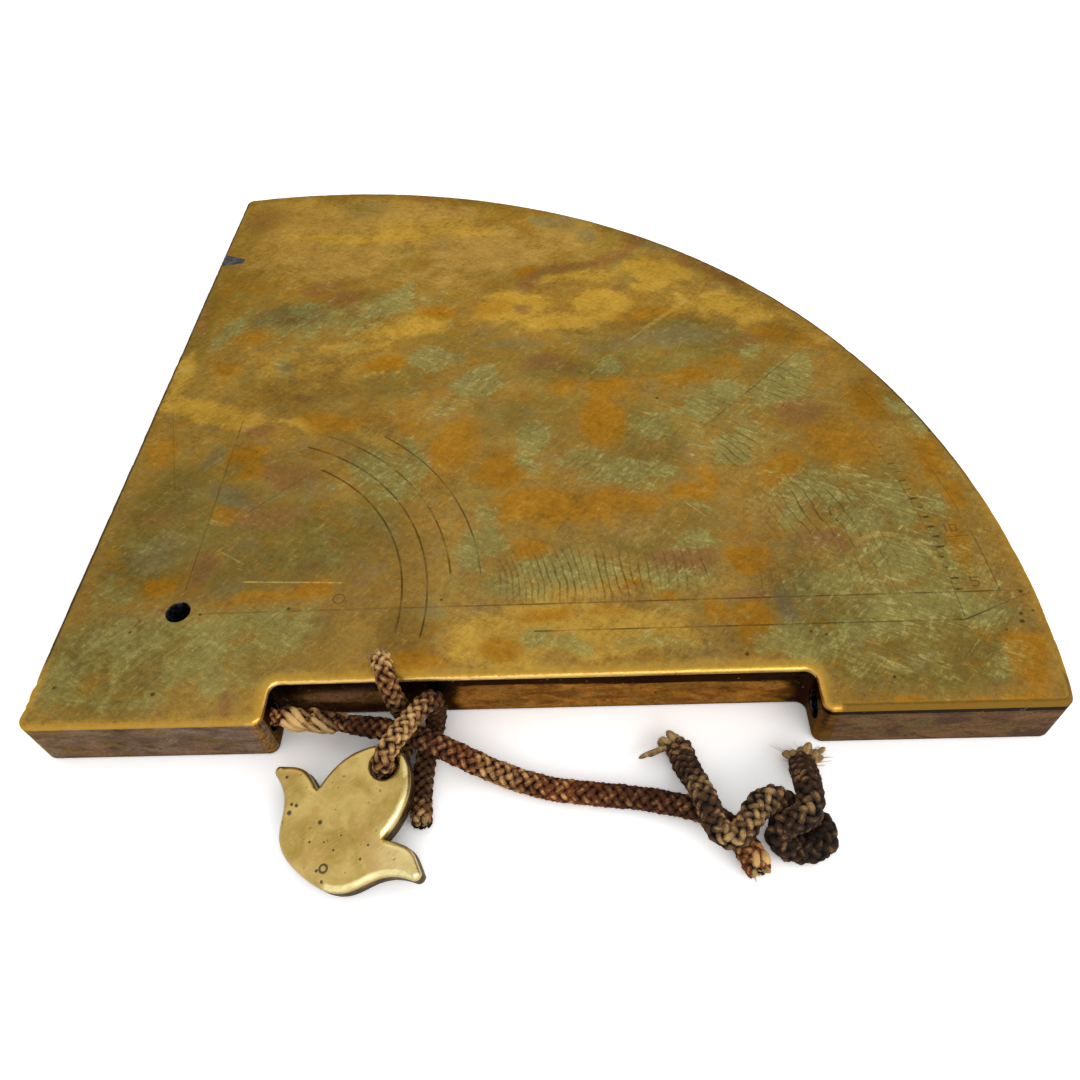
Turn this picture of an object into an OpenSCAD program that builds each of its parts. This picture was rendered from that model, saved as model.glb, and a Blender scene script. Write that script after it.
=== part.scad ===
// Astronomical quadrant: a thick cast quarter plate with two sight blocks, a divided limb,
// a lead repair, a plumb bob and the three lengths of cord that are knotted to it.
// Origin on the axis of the apex bore at the underside. +X runs along the sighting edge,
// +Y along the other straight edge, +Z up out of the engraved face. Millimetres.

/* [Plate] */
// Thickness of the casting
plate_t = 16.5; // [14:0.5:22]
// Radius of the curved limb, from the apex bore
limb_r = 220; // [215:1:240]
// Apex bore to the plain straight edge
apex_x = 31; // [25:1:40]
// Apex bore to the sighting edge
apex_y = 33; // [31:1:40]
// Radius of the square corners in plan
corner_r = 3; // [2:0.5:6]
// Flat worn across the two corners of the limb
corner_flat = 3; // [1.5:0.1:4]
// Radius worn on the upper edge
arris_r = 1.5; // [0.5:0.1:1.8]

/* [Sights] */
// Length of the sight block beside the apex
block_len = 60; // [52:1:62]
// Length of the recess between the two sight blocks
recess_len = 132; // [125:1:140]
// Depth of the recess, measured from the sighting edge
recess_depth = 11; // [10:0.5:14]
// Radius of the recess's two inner corners
recess_r = 2.5; // [2:0.5:4]
// Diameter of the sighting bore through both blocks
sight_d = 6.5; // [6.3:0.1:7]
// Sighting bore to the sighting edge
sight_inset = 6; // [5.5:0.5:7]
// Diameter of the bore at the apex
apex_d = 6; // [4:0.5:8]

/* [Divided limb] */
// Width of an engraved line
scribe_w = 0.35; // [0.25:0.05:0.5]
// Depth of an engraved line
scribe_deep = 0.25; // [0.15:0.05:0.4]
// Radius of the arc that carries the degree strokes
scale_r = 200; // [195:1:204]
// Width of the ring of numeral boxes outside that arc
box_w = 11; // [8:0.5:12]
// Length of a degree stroke
stroke_len = 2.2; // [1.5:0.1:3]
// Degrees from one stroke to the next
stroke_step = 1; // [0.5:0.5:1]
// Degrees over which the strokes are still deep enough to see
stroke_span = 15; // [5:1:30]
// Width of the band along the base line
band_w = 8.2; // [6:0.2:9]
// Radius of the innermost of the four calendar arcs
calendar_r = 59; // [50:1:60]
// Radial step from one calendar arc to the next
calendar_step = 7; // [5:0.5:8]

/* [Lead repair] */
// Length of the lead plug, inward from the plain edge
plug_len = 9.5; // [8:0.5:15]
// Width of the plug at the edge
plug_w = 8.5; // [6:0.5:10]
// Width of the plug at its inner end
plug_tip_w = 3; // [2:0.5:6]
// Offset of the inner end towards the apex
plug_slew = 1.2; // [0:0.1:2]
// Depth of the plug's pocket
plug_deep = 4; // [3:0.5:6]
// Apex bore to the middle of the plug, along the plain edge
plug_y = 170.5; // [150:0.5:180]

/* [Plumb bob] */
// Thickness of the bob
bob_t = 6.5; // [5:0.5:7]
// Eye to the foot of the tulip outline
bob_foot = 29.2; // [27:0.1:31]
// Half the width across the two petal tips
petal_reach = 22.6; // [20:0.2:24]
// Radius of the rounded edge of the bob
bob_edge = 1.5; // [0.8:0.1:2]
// Diameter of the eye
eye_d = 6.4; // [6.2:0.1:7]
// Chamfer worn into both mouths of the eye
eye_wear = 1.2; // [1:0.1:1.4]
// Angle at which the bob leans on the cord under its eye
bob_lean = 9.5; // [9:0.5:12]
// Direction of the bob's axis in plan, from foot to eye
bob_turn = 54.7; // [52:0.1:60]

/* [Cords] */
// Diameter of the main cord
cord_d = 5.4; // [4:0.1:5.5]
// Diameter of the cord tied through the bob
bob_cord_d = 5; // [4:0.1:5.1]
// Diameter of the short cord knotted on the far end
stop_cord_d = 5.2; // [4:0.1:5.3]

/* [Hidden] */

$fn = 96;
// Overshoot of a cut past the face that it opens
cut = 1;
// The worn round is this much fuller than one tangent to both faces, and meets them at a crease
arris_swell = 0.02;
// Overrun of a worn edge past the flat that it meets, and the same round the limb
lap = 3;
lap_a = 1;
// Gap between two pieces that rest against each other
seat_gap = 0.3;
// Gap round the lead in its pocket
plug_gap = 0.05;

// The plate's straight edges, its recess and its bores
edge_x = -apex_x;
edge_y = -apex_y;
recess_x0 = edge_x + block_len;
recess_x1 = recess_x0 + recess_len;
recess_y = edge_y + recess_depth;
sight_y = edge_y + sight_inset;
sight_z = plate_t / 2;

// Where the limb would meet each straight edge, and the ends of the flats worn across there
tip_a = asin(edge_y / limb_r);
top_a = acos(edge_x / limb_r);
flat_a = corner_flat / limb_r * 180 / PI;
tip_x = limb_r * cos(tip_a);
top_y = limb_r * sin(top_a);
tip_in = [tip_x - corner_flat, edge_y];
top_in = [edge_x, top_y - corner_flat];

// The engraving: the outer ring, the base line and where the band comes to a point
ring_r = scale_r + box_w;
base_y = -0.8;
zero_a = asin(base_y / scale_r);
band_y = base_y - band_w;
point_x = ring_r + 6;
band_x0 = 94;
box_degrees = 5;
calendar_count = 4;
calendar_a0 = -7;
calendar_a1 = 60;

// The bob's eye at its underside, in plan, and the height that its foot on the table gives it
eye_x = 59.2;
eye_y = -40.9;
eye_z = seat_gap + (bob_foot - bob_edge) * sin(bob_lean) + bob_edge * (1 - cos(bob_lean));
petal_r = 1.5;

// Routes of the cords along their middles. The main cord leaves the sighting bore beside
// the apex, crosses the tail of the bob's cord, lies along the table and ends cut.
main_route = [
    [17, sight_y, sight_z],
    [30, sight_y, sight_z],
    [38, -28, 8.2],
    [47, -29.3, 8.2],
    [54, -30.4, 8.1],
    [61, -31.8, 8],
    [67.5, -34.2, 8],
    [74, -36.9, 6.9],
    [81, -39.6, 5.1],
    [90, -42.7, 3.3],
    [99, -45, 2.8],
    [108.5, -46.3, 2.8],
    [118, -47.5, 2.8],
    [127, -49.3, 2.8],
    [132.5, -51, 2.8],
    [137, -54, 2.8],
    [140.5, -58.5, 2.8],
    [142.6, -64.5, 2.8]
];
// The bob's cord: from the tail that lies on the plate, down behind the main cord and under
// it, up through the eye, back over it, down behind it again and out beside the bob.
bob_route = [
    [56.3, -17.6, 19.3],
    [57.4, -20.4, 19.5],
    [58.5, -23.2, 18.7],
    [59.2, -25.1, 16.4],
    [59.9, -26.2, 13.4],
    [60.6, -26.4, 10.4],
    [61.1, -26.4, 7.4],
    [61.4, -27.2, 4.6],
    [61.3, -29.2, 2.8],
    [60.8, -32, 2.6],
    [60.2, -35, 2.6],
    [59.8, -37.7, 2.7],
    [59.5, -39.3, 3.1],
    [59.3, -40.5, 4.2],
    [59.2, -41, 5.8],
    [59, -41.3, 7.6],
    [58.8, -41.6, 9.5],
    [58.6, -41.9, 11.4],
    [58.9, -41.5, 13.6],
    [59.9, -39.8, 14.9],
    [61.4, -37.3, 15.4],
    [63.2, -34.3, 15],
    [65, -31.3, 14.5],
    [66.7, -28.4, 13.9],
    [68.1, -26.1, 12.7],
    [68.8, -25, 10.6],
    [69, -25.1, 8],
    [68.9, -26.2, 5.4],
    [68.4, -28.4, 3.5],
    [67.6, -31.6, 2.6],
    [66.9, -35.3, 2.6],
    [66.5, -39.8, 2.6],
    [66.5, -44.3, 2.6],
    [66.8, -48.6, 2.6],
    [67.3, -52.6, 2.6]
];
// The short cord: from its left tail over the main cord, round an elbow, over again, once
// round on the table and up across itself to the frayed tail.
stop_route = [
    [128.1, -34.4, 2.7],
    [128.8, -38, 3.3],
    [129.6, -41.6, 4.9],
    [130.6, -45.2, 6.9],
    [131.7, -48.8, 8.4],
    [132.7, -52.2, 8.7],
    [133.4, -55.2, 8.2],
    [134.9, -57.9, 7.9],
    [137.5, -58.8, 8.2],
    [139.9, -57.3, 8.7],
    [141.8, -54.6, 8.8],
    [143.9, -52.2, 8.6],
    [146.7, -50.7, 8],
    [149.6, -50.4, 6.2],
    [152.2, -51.5, 4.1],
    [154.7, -52.6, 2.8],
    [156.9, -53.7, 2.7],
    [158.2, -55.5, 2.7],
    [158, -57.7, 2.7],
    [156.3, -59.2, 2.7],
    [153.9, -59.8, 2.7],
    [151.2, -59.8, 2.8],
    [148.8, -59.1, 3.8],
    [147.8, -57.3, 5.6],
    [149, -55.9, 7.4],
    [151.4, -55.7, 8.6],
    [153.7, -54.6, 9.3],
    [155, -52, 9.3],
    [155.6, -48.8, 8.4],
    [156, -45.3, 6.5],
    [156.4, -42, 4.5],
    [156.9, -39.2, 3.3]
];
// Sides of a cord's tube
cord_sides = 10;

// Unit vector of a direction in plan, and of any vector
function heading(a) = [cos(a), sin(a)];
function unit(v) = v / norm(v);

tip_out = limb_r * heading(tip_a + flat_a);
top_out = limb_r * heading(top_a - flat_a);

// Wedge of plan between two directions from a round's centre, outside the round itself
module wedge(c, r, a0, a1, reach) {
    translate(c) difference() {
        polygon([[0, 0], reach * heading(a0), reach * heading((a0 + a1) / 2), reach * heading(a1)]);
        circle(r);
    }
}

// Fill that rounds an inner corner of the recess
module inner_round(c, r, a0, a1) {
    translate(c) difference() {
        polygon([[0, 0], r * heading(a0), r * (heading(a0) + heading(a1)), r * heading(a1)]);
        circle(r);
    }
}

// Outline of the plate: quarter disc carried past its centre on both straight sides
module plate_plan() {
    difference() {
        intersection() {
            circle(limb_r, $fn = 720);
            translate([edge_x, edge_y]) square(2 * limb_r);
        }
        translate([recess_x0, edge_y - cut]) square([recess_len, recess_depth + cut]);
        wedge([edge_x + corner_r, edge_y + corner_r], corner_r, 180, 270, 2 * corner_r);
        wedge([recess_x0 - recess_r, edge_y + recess_r], recess_r, 270, 360, 2 * recess_r);
        wedge([recess_x1 + recess_r, edge_y + recess_r], recess_r, 180, 270, 2 * recess_r);
        polygon([tip_in, [tip_x + cut, edge_y - cut], tip_out]);
        polygon([top_in, [edge_x - cut, top_y + cut], top_out]);
    }
    inner_round([recess_x0 + recess_r, recess_y - recess_r], recess_r, 90, 180);
    inner_round([recess_x1 - recess_r, recess_y - recess_r], recess_r, 0, 90);
}

// Section that the worn upper edge removes, x inward from the wall and y up
module arris_section() {
    difference() {
        translate([-cut, plate_t - arris_r]) square(arris_r + cut);
        translate([arris_r, plate_t - arris_r]) circle(arris_r + arris_swell);
    }
}

// Worn edge along a straight run, with the metal to the left of the way from p to q. It can
// run on past either end, over a corner that isn't rounded.
module arris_run(p, q, lap_p = 0, lap_q = 0) {
    d = q - p;
    translate(p) rotate(atan2(d.y, d.x)) translate([-lap_p, 0]) rotate([90, 0, 90])
        linear_extrude(norm(d) + lap_p + lap_q) arris_section();
}

// Worn edge round a corner that bulges out of the metal
module arris_turn(c, r, a0, a1) {
    translate(c) rotate(a0) rotate_extrude(angle = a1 - a0)
        translate([r, 0]) mirror([1, 0]) arris_section();
}

// Worn edge round an inner corner
module arris_inner_turn(c, r, a0, a1) {
    translate(c) rotate(a0) rotate_extrude(angle = a1 - a0) translate([r, 0]) arris_section();
}

// The whole upper edge, once round the outline
module arris() {
    arris_turn([edge_x + corner_r, edge_y + corner_r], corner_r, 180, 270);
    arris_run([edge_x + corner_r, edge_y], [recess_x0 - recess_r, edge_y]);
    arris_turn([recess_x0 - recess_r, edge_y + recess_r], recess_r, 270, 360);
    arris_run([recess_x0, edge_y + recess_r], [recess_x0, recess_y - recess_r]);
    arris_inner_turn([recess_x0 + recess_r, recess_y - recess_r], recess_r, 90, 180);
    arris_run([recess_x0 + recess_r, recess_y], [recess_x1 - recess_r, recess_y]);
    arris_inner_turn([recess_x1 - recess_r, recess_y - recess_r], recess_r, 0, 90);
    arris_run([recess_x1, recess_y - recess_r], [recess_x1, edge_y + recess_r]);
    arris_turn([recess_x1 + recess_r, edge_y + recess_r], recess_r, 180, 270);
    arris_run([recess_x1 + recess_r, edge_y], tip_in, 0, lap);
    arris_run(tip_in, tip_out, lap, lap);
    arris_turn([0, 0], limb_r, tip_a - lap_a, top_a + lap_a, $fn = 720);
    arris_run(top_out, top_in, lap, lap);
    arris_run(top_in, [edge_x, edge_y + corner_r], lap, 0);
}

// Engraved arc about the apex
module scribed_arc(r, a0, a1) {
    rotate(a0) rotate_extrude(angle = a1 - a0, $fn = 720)
        translate([r - scribe_w / 2, plate_t - scribe_deep]) square([scribe_w, scribe_deep + cut]);
}

// Engraved straight line
module scribed_line(p, q) {
    d = q - p;
    translate([p.x, p.y, plate_t - scribe_deep]) rotate(atan2(d.y, d.x))
        translate([0, -scribe_w / 2, 0]) cube([norm(d), scribe_w, scribe_deep + cut]);
}

// The degree scale on the limb: carrying arc, degree strokes from the base line and numeral boxes
module limb_scale() {
    scribed_arc(scale_r, 0, stroke_span + stroke_step / 2);
    scribed_arc(ring_r, asin(base_y / ring_r), stroke_span + box_degrees);
    for (a = [stroke_step : stroke_step : stroke_span])
        let (d = heading(zero_a + a))
            scribed_line(scale_r * d, (scale_r + (a % box_degrees == 0 ? box_w : stroke_len)) * d);
}

// Base line, the pointed band under it and the plumb line through the apex
module base_lines() {
    scribed_line([apex_d, base_y], [ring_r, base_y]);
    scribed_line([band_x0, band_y], [scale_r, band_y]);
    scribed_line([scale_r, band_y], [scale_r, 0]);
    scribed_line([scale_r, band_y], [point_x, base_y - cut]);
    scribed_line([0, apex_d], [0, calendar_r + 2 * calendar_step]);
}

// The cast plate with everything that is cut into it
module quadrant_plate() {
    color([0.55, 0.42, 0.19]) difference() {
        linear_extrude(plate_t) plate_plan();
        arris();
        translate([0, 0, -cut]) cylinder(d = apex_d, h = plate_t + 2 * cut);
        translate([edge_x - cut, sight_y, sight_z]) rotate([0, 90, 0])
            cylinder(d = sight_d, h = limb_r - edge_x + 2 * cut);
        plug_pocket();
        for (i = [0 : calendar_count - 1])
            scribed_arc(calendar_r + i * calendar_step, calendar_a0, calendar_a1);
        limb_scale();
        base_lines();
    }
}

// Plan of the repair: a wedge that narrows inward from the plain edge
module plug_plan(gap, outer) {
    half_w = plug_w / 2 - gap;
    half_tip = plug_tip_w / 2 - gap;
    tip = plug_len - gap;
    translate([edge_x, plug_y]) polygon([
        [-outer, -half_w],
        [0, -half_w],
        [tip, -half_tip - plug_slew],
        [tip, half_tip - plug_slew],
        [0, half_w],
        [-outer, half_w]
    ]);
}

// Pocket for the lead, open at the plain edge and at the top
module plug_pocket() {
    translate([0, 0, plate_t - plug_deep]) linear_extrude(plug_deep + cut) plug_plan(0, cut);
}

// Lead run into the pocket and dressed flush, with the worn edge carried across it
module repair_plug() {
    color([0.28, 0.27, 0.28]) difference() {
        translate([0, 0, plate_t - plug_deep]) linear_extrude(plug_deep) plug_plan(plug_gap, 0);
        arris_run([edge_x, plug_y + plug_w], [edge_x, plug_y - plug_w]);
    }
}

// Point at t on a cubic curve through four control points
function bezier(p, t) =
    pow(1 - t, 3) * p[0] + 3 * t * pow(1 - t, 2) * p[1] + 3 * t * t * (1 - t) * p[2] + pow(t, 3) * p[3];

// Half of the tulip outline from the lobe's crown to the foot. x runs from foot to eye.
petal_c = [-14.6, petal_reach - petal_r];
crown = [5.2, 0];
crotch = [-12.8, 10.4];
lobe_curve = [crown, [5.2, 3.5], [-0.4, 12.1], crotch];
petal_top = [crotch, [-10, 17], petal_c + [3.7, -3.7], petal_c + petal_r * heading(54)];
petal_under = [petal_c + petal_r * heading(156), petal_c + [-4.6, -11.9], [-bob_foot, 16.5], [-bob_foot, 0]];
curve_steps = 10;
half_outline = concat(
    [for (i = [0 : curve_steps - 1]) bezier(lobe_curve, i / curve_steps)],
    [for (i = [0 : curve_steps - 1]) bezier(petal_top, i / curve_steps)],
    [for (a = [54 : 25.5 : 156]) petal_c + petal_r * heading(a)],
    [for (i = [1 : curve_steps]) bezier(petal_under, i / curve_steps)]
);
bob_outline = concat(
    half_outline,
    [for (i = [len(half_outline) - 2 : -1 : 1]) [half_outline[i].x, -half_outline[i].y]]
);

// The outline drawn in by a distance, each point along its own normal
function drawn_in(p, d) = [
    for (i = [0 : len(p) - 1])
        let (t = unit(p[(i + 1) % len(p)] - p[(i + len(p) - 1) % len(p)])) p[i] + d * [-t.y, t.x]
];

// Heights and insets of the rings that round the bob's edges
edge_steps = [0, 30, 60, 90];
bob_rings = concat(
    [for (a = edge_steps) [bob_edge * (1 - sin(a)), bob_edge * (1 - cos(a))]],
    [for (i = [3 : -1 : 0]) [bob_edge * (1 - sin(edge_steps[i])), bob_t - bob_edge * (1 - cos(edge_steps[i]))]]
);

// Fans that close the outline: each petal from its crotch, the lobe from the foot
function fans(n, crotch_i, foot_i) = concat(
    [for (i = [crotch_i + 1 : foot_i - 1]) [crotch_i, i, i + 1]],
    [for (i = [foot_i : n - crotch_i - 2]) [n - crotch_i, i, i + 1]],
    [for (i = [n - crotch_i : n + crotch_i - 1]) [foot_i, i % n, (i + 1) % n]]
);

// Rounded slab in the tulip outline
module bob_body() {
    n = len(bob_outline);
    last = (len(bob_rings) - 1) * n;
    points = [for (ring = bob_rings) for (p = drawn_in(bob_outline, ring.x)) [p.x, p.y, ring.y]];
    sides = [
        for (r = [0 : n : last - n]) for (i = [0 : n - 1]) let (j = (i + 1) % n)
            each [[r + i, r + n + i, r + n + j], [r + i, r + n + j, r + j]]
    ];
    under = fans(n, curve_steps, len(half_outline) - 1);
    over = [for (f = under) [last + f[2], last + f[1], last + f[0]]];
    polyhedron(points, concat(under, over, sides), convexity = 6);
}

// The bob, lying with its foot on the table and its eye end lifted by the cord beneath
module plumb_bob() {
    color([0.72, 0.60, 0.34]) translate([eye_x, eye_y, eye_z]) rotate(bob_turn) rotate([0, -bob_lean, 0])
        difference() {
            bob_body();
            translate([0, 0, -cut]) cylinder(d = eye_d, h = bob_t + 2 * cut);
            cylinder(d1 = eye_d + 2 * eye_wear, d2 = eye_d, h = eye_wear);
            translate([0, 0, bob_t - eye_wear]) cylinder(d1 = eye_d, d2 = eye_d + 2 * eye_wear, h = eye_wear);
        }
}

// Direction of a route at one of its points
function tangent(p, i) = unit(p[min(i + 1, len(p) - 1)] - p[max(i - 1, 0)]);

// Side vectors carried along a route without twist
function level(v, t) = unit(v - (v * t) * t);
function sides_along(p, v, i = 0) =
    i == len(p) ? [] : let (s = level(v, tangent(p, i))) concat([s], sides_along(p, s, i + 1));

// Round cord swept along a route, one ring at each of its points
module cord(p, d) {
    n = cord_sides;
    side = sides_along(p, [0.1, 0.2, 1]);
    points = [
        for (i = [0 : len(p) - 1]) for (k = [0 : n - 1])
            p[i] + d / 2 * (cos(360 * k / n) * side[i] + sin(360 * k / n) * cross(tangent(p, i), side[i]))
    ];
    walls = [
        for (i = [0 : len(p) - 2]) for (k = [0 : n - 1]) let (m = (k + 1) % n)
            each [
                [i * n + k, (i + 1) * n + k, (i + 1) * n + m],
                [i * n + k, (i + 1) * n + m, i * n + m]
            ]
    ];
    start = [for (k = [0 : n - 1]) k];
    finish = [for (k = [n - 1 : -1 : 0]) (len(p) - 1) * n + k];
    polyhedron(points, concat([start, finish], walls), convexity = 8);
}

module main_cord() {
    color([0.45, 0.30, 0.16]) cord(main_route, cord_d);
}

module bob_hitch() {
    color([0.55, 0.38, 0.20]) cord(bob_route, bob_cord_d);
}

module end_knot() {
    color([0.30, 0.20, 0.12]) cord(stop_route, stop_cord_d);
}

quadrant_plate();
repair_plug();
plumb_bob();
main_cord();
bob_hitch();
end_knot();
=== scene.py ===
"""Looks of an old brass quadrant that lies on a white table with its corded plumb bob."""

import logging
import math
from dataclasses import dataclass, field, fields
from enum import Enum

import bmesh
import bpy
import numpy as np
from mathutils import Matrix, Vector
from mathutils.geometry import delaunay_2d_cdt


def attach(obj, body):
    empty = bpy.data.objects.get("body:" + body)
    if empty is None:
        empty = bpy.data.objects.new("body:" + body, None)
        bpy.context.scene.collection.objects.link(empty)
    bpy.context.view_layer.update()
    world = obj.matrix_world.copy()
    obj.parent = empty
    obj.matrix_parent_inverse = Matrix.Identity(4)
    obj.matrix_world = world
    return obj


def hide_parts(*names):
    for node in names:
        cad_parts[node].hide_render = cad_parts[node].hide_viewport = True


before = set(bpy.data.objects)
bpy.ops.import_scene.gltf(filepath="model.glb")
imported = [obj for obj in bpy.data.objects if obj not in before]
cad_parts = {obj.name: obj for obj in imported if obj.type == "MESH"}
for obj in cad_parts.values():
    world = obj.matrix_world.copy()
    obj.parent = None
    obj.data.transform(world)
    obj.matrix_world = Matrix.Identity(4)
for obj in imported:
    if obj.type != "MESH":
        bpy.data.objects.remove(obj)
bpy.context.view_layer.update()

MM = 0.001
# Large primes that scatter the lattice's cells and seeds
HASH_STEPS, HASH_SEED, HASH_STIR = np.array([73856093, 19349663, 83492791]), 2654435761, 1274126177
log = logging.getLogger("quadrant")


def tint(red: float, green: float, blue: float) -> tuple[float, float, float, float]:
    """Turn an sRGB colour of 0 to 255 into a linear one.

    Args:
        red, green, blue: the colour as it is seen on a screen.

    Returns:
        Linear red, green, blue and an alpha of 1.
    """
    v = np.array([red, green, blue], float) / 255
    lin = np.where(v <= 0.04045, v / 12.92, ((v + 0.055) / 1.055) ** 2.4)
    return (float(lin[0]), float(lin[1]), float(lin[2]), 1.0)


# Numpy shapes


def lattice_noise(points: np.ndarray, size: float, seed: int) -> np.ndarray:
    """Smooth value noise: random heights on a lattice, blended with the smoothstep curve.

    Args:
        points: n by 3 places.
        size: lattice step, in the same unit.
        seed: which random field.

    Returns:
        n values from -1 to 1.
    """
    p = points / size + 1000.0
    base = np.floor(p).astype(np.int64)
    f = p - base
    f = f * f * (3 - 2 * f)
    total = np.zeros(len(points))
    for corner in range(8):
        bit = np.array([corner & 1, corner >> 1 & 1, corner >> 2 & 1])
        q = base + bit
        h = (q * HASH_STEPS).T
        h = h[0] ^ h[1] ^ h[2] ^ (seed * HASH_SEED)
        h = (h ^ (h >> 13)) * HASH_STIR & 0x7FFFFFFF
        value = ((h ^ (h >> 16)) % 65536) / 32767.5 - 1
        total += value * np.prod(np.where(bit, f, 1 - f), axis=1)
    return total


def layered_noise(points: np.ndarray, size: float, seed: int, layers: int = 3) -> np.ndarray:
    """Sum of lattice noises, each half the size and half the height of the one before."""
    out = np.zeros(len(points))
    for k in range(layers):
        out += lattice_noise(points, size / 2**k, seed + k) / 2**k
    return out / (2 - 2.0 ** (1 - layers))


def smooth_route(points: np.ndarray, step: float) -> np.ndarray:
    """Catmull-Rom curve through the points, resampled at equal steps of its own length.

    Args:
        points: n by 3 route points.
        step: distance wanted from one sample to the next.

    Returns:
        m by 3 samples, the first and the last on the route's ends.
    """
    p = np.vstack([2 * points[0] - points[1], points, 2 * points[-1] - points[-2]])
    t = np.linspace(0, 1, 24, endpoint=False)[None, :, None]
    a, b, c, d = (p[i : len(p) - 3 + i][:, None, :] for i in range(4))
    q = 0.5 * (2 * b + (c - a) * t + (2 * a - 5 * b + 4 * c - d) * t**2 + (3 * b - a - 3 * c + d) * t**3)
    q = np.vstack([q.reshape(-1, 3), points[-1]])
    length = np.concatenate([[0], np.cumsum(np.linalg.norm(np.diff(q, axis=0), axis=1))])
    count = max(int(round(length[-1] / step)), 2) + 1
    at = np.linspace(0, length[-1], count)
    return np.stack([np.interp(at, length, q[:, k]) for k in range(3)], axis=1)


def unit_rows(v: np.ndarray) -> np.ndarray:
    """Each row divided by its own length."""
    return v / np.maximum(np.linalg.norm(v, axis=-1, keepdims=True), 1e-12)


def carried_frame(path: np.ndarray) -> tuple[np.ndarray, np.ndarray, np.ndarray]:
    """Tangent, side and other side at each sample, the sides carried along without twist.

    Args:
        path: n by 3 samples.

    Returns:
        Three n by 3 arrays of unit vectors.
    """
    tangent = unit_rows(np.gradient(path, axis=0))
    side = np.empty_like(path)
    v = np.array([0.13, 0.27, 0.95])
    for i, t in enumerate(tangent):
        v = v - (v @ t) * t
        v = v / np.linalg.norm(v)
        side[i] = v
    return tangent, side, np.cross(tangent, side)


def grid_faces(rows: int, columns: int, first: int = 0) -> np.ndarray:
    """Quads of a grid whose columns close on themselves, counted from a first vertex."""
    r, c = np.meshgrid(np.arange(rows - 1), np.arange(columns), indexing="ij")
    n = (c + 1) % columns
    low, high = r * columns, (r + 1) * columns
    return np.stack([low + c, low + n, high + n, high + c], axis=-1).reshape(-1, 4) + first


def make_piece(name: str, verts: np.ndarray, faces: list, smooth_under: float = 40.0) -> bpy.types.Object:
    """Put worked-out vertices and faces into a new object at the origin.

    Args:
        name: the piece's name.
        verts: n by 3 places in millimetres.
        faces: faces as rows of vertex numbers.
        smooth_under: edges that turn by less than this many degrees shade smooth.

    Returns:
        The object, linked to the scene.
    """
    mesh = bpy.data.meshes.new(name)
    mesh.from_pydata((np.asarray(verts) * MM).tolist(), [], [tuple(int(i) for i in f) for f in faces])
    mesh.validate()
    mesh.shade_smooth()
    mesh.set_sharp_from_angle(angle=math.radians(smooth_under))
    piece = bpy.data.objects.new(name, mesh)
    bpy.context.scene.collection.objects.link(piece)
    return piece


def turned(profile: np.ndarray, centre: tuple, axis: str, sides: int = 96) -> tuple[np.ndarray, list]:
    """Surface of revolution: radius r at height h becomes (r cos a, r sin a, h) about an axis.

    Args:
        profile: n by 2 rows of radius and height.
        centre: where the axis starts.
        axis: X or Z.
        sides: vertices round.

    Returns:
        Vertices and faces of a closed body.
    """
    a = np.linspace(0, 2 * np.pi, sides, endpoint=False)
    r, h = profile[:, :1], profile[:, 1:]
    x, y, z = r * np.cos(a), r * np.sin(a), h + 0 * a
    stack = (z, x, y) if axis == "X" else (x, y, z)
    verts = np.stack(stack, axis=-1).reshape(-1, 3) + np.array(centre)
    faces = grid_faces(len(profile), sides).tolist()
    faces.append(list(range(sides))[::-1])
    faces.append(list(range((len(profile) - 1) * sides, len(profile) * sides)))
    return verts, faces


def flared(radius: float, flare: float, low: float, high: float, reach: float) -> np.ndarray:
    """Profile of a bore whose two mouths are worn to a quarter round of radius flare."""
    q = np.linspace(0, np.pi / 2, 7)
    top_r, top_z = radius + flare - flare * np.cos(q), high - flare + flare * np.sin(q)
    mouth = np.stack([top_r, top_z], axis=1)
    foot = np.stack([top_r[::-1], (low + high) - top_z[::-1]], axis=1)
    ends = np.array([[radius + flare, low - reach]]), np.array([[radius + flare, high + reach]])
    return np.vstack([ends[0], foot, mouth, ends[1]])


def cut_away(piece: bpy.types.Object, tools: list[tuple[np.ndarray, list]]) -> None:
    """Take bodies out of a piece with an exact boolean, then drop the helpers.

    Args:
        piece: what is cut.
        tools: vertices and faces of each body.
    """
    for number, (verts, faces) in enumerate(tools):
        tool = make_piece(f"cutter_{number}", verts, faces)
        cut = piece.modifiers.new("cut", "BOOLEAN")
        cut.operation, cut.solver, cut.object = "DIFFERENCE", "EXACT", tool
        done = bpy.data.meshes.new_from_object(piece.evaluated_get(bpy.context.evaluated_depsgraph_get()))
        piece.modifiers.clear()
        old, piece.data = piece.data, done
        bpy.data.meshes.remove(old)
        bpy.data.objects.remove(tool)


def slope(value: np.ndarray, start: float, width: float) -> np.ndarray:
    """0 up to a start, 1 beyond its width, and a straight rise between them."""
    return np.clip((value - start) / width, 0, 1)


def hill(value: np.ndarray, middle: float, width: float) -> np.ndarray:
    """Bell curve: 1 at its middle, falling as the exponential of minus the distance squared."""
    return np.exp(-(((value - middle) / width) ** 2))


def places_of(piece: bpy.types.Object, key: str = "co", unit: float = MM) -> np.ndarray:
    """Each vertex's place in millimetres or, with key normal and unit 1, its normal."""
    at = np.empty(len(piece.data.vertices) * 3)
    piece.data.vertices.foreach_get(key, at)
    return at.reshape(-1, 3) / unit


def write_attribute(piece: bpy.types.Object, name: str, values: np.ndarray, key: str = "value") -> None:
    """Store a number, or with key color four, on each vertex."""
    kind = "FLOAT_COLOR" if key == "color" else "FLOAT"
    layer = piece.data.attributes.new(name, kind, "POINT")
    layer.data.foreach_set(key, np.asarray(values, np.float32).ravel())


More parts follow.
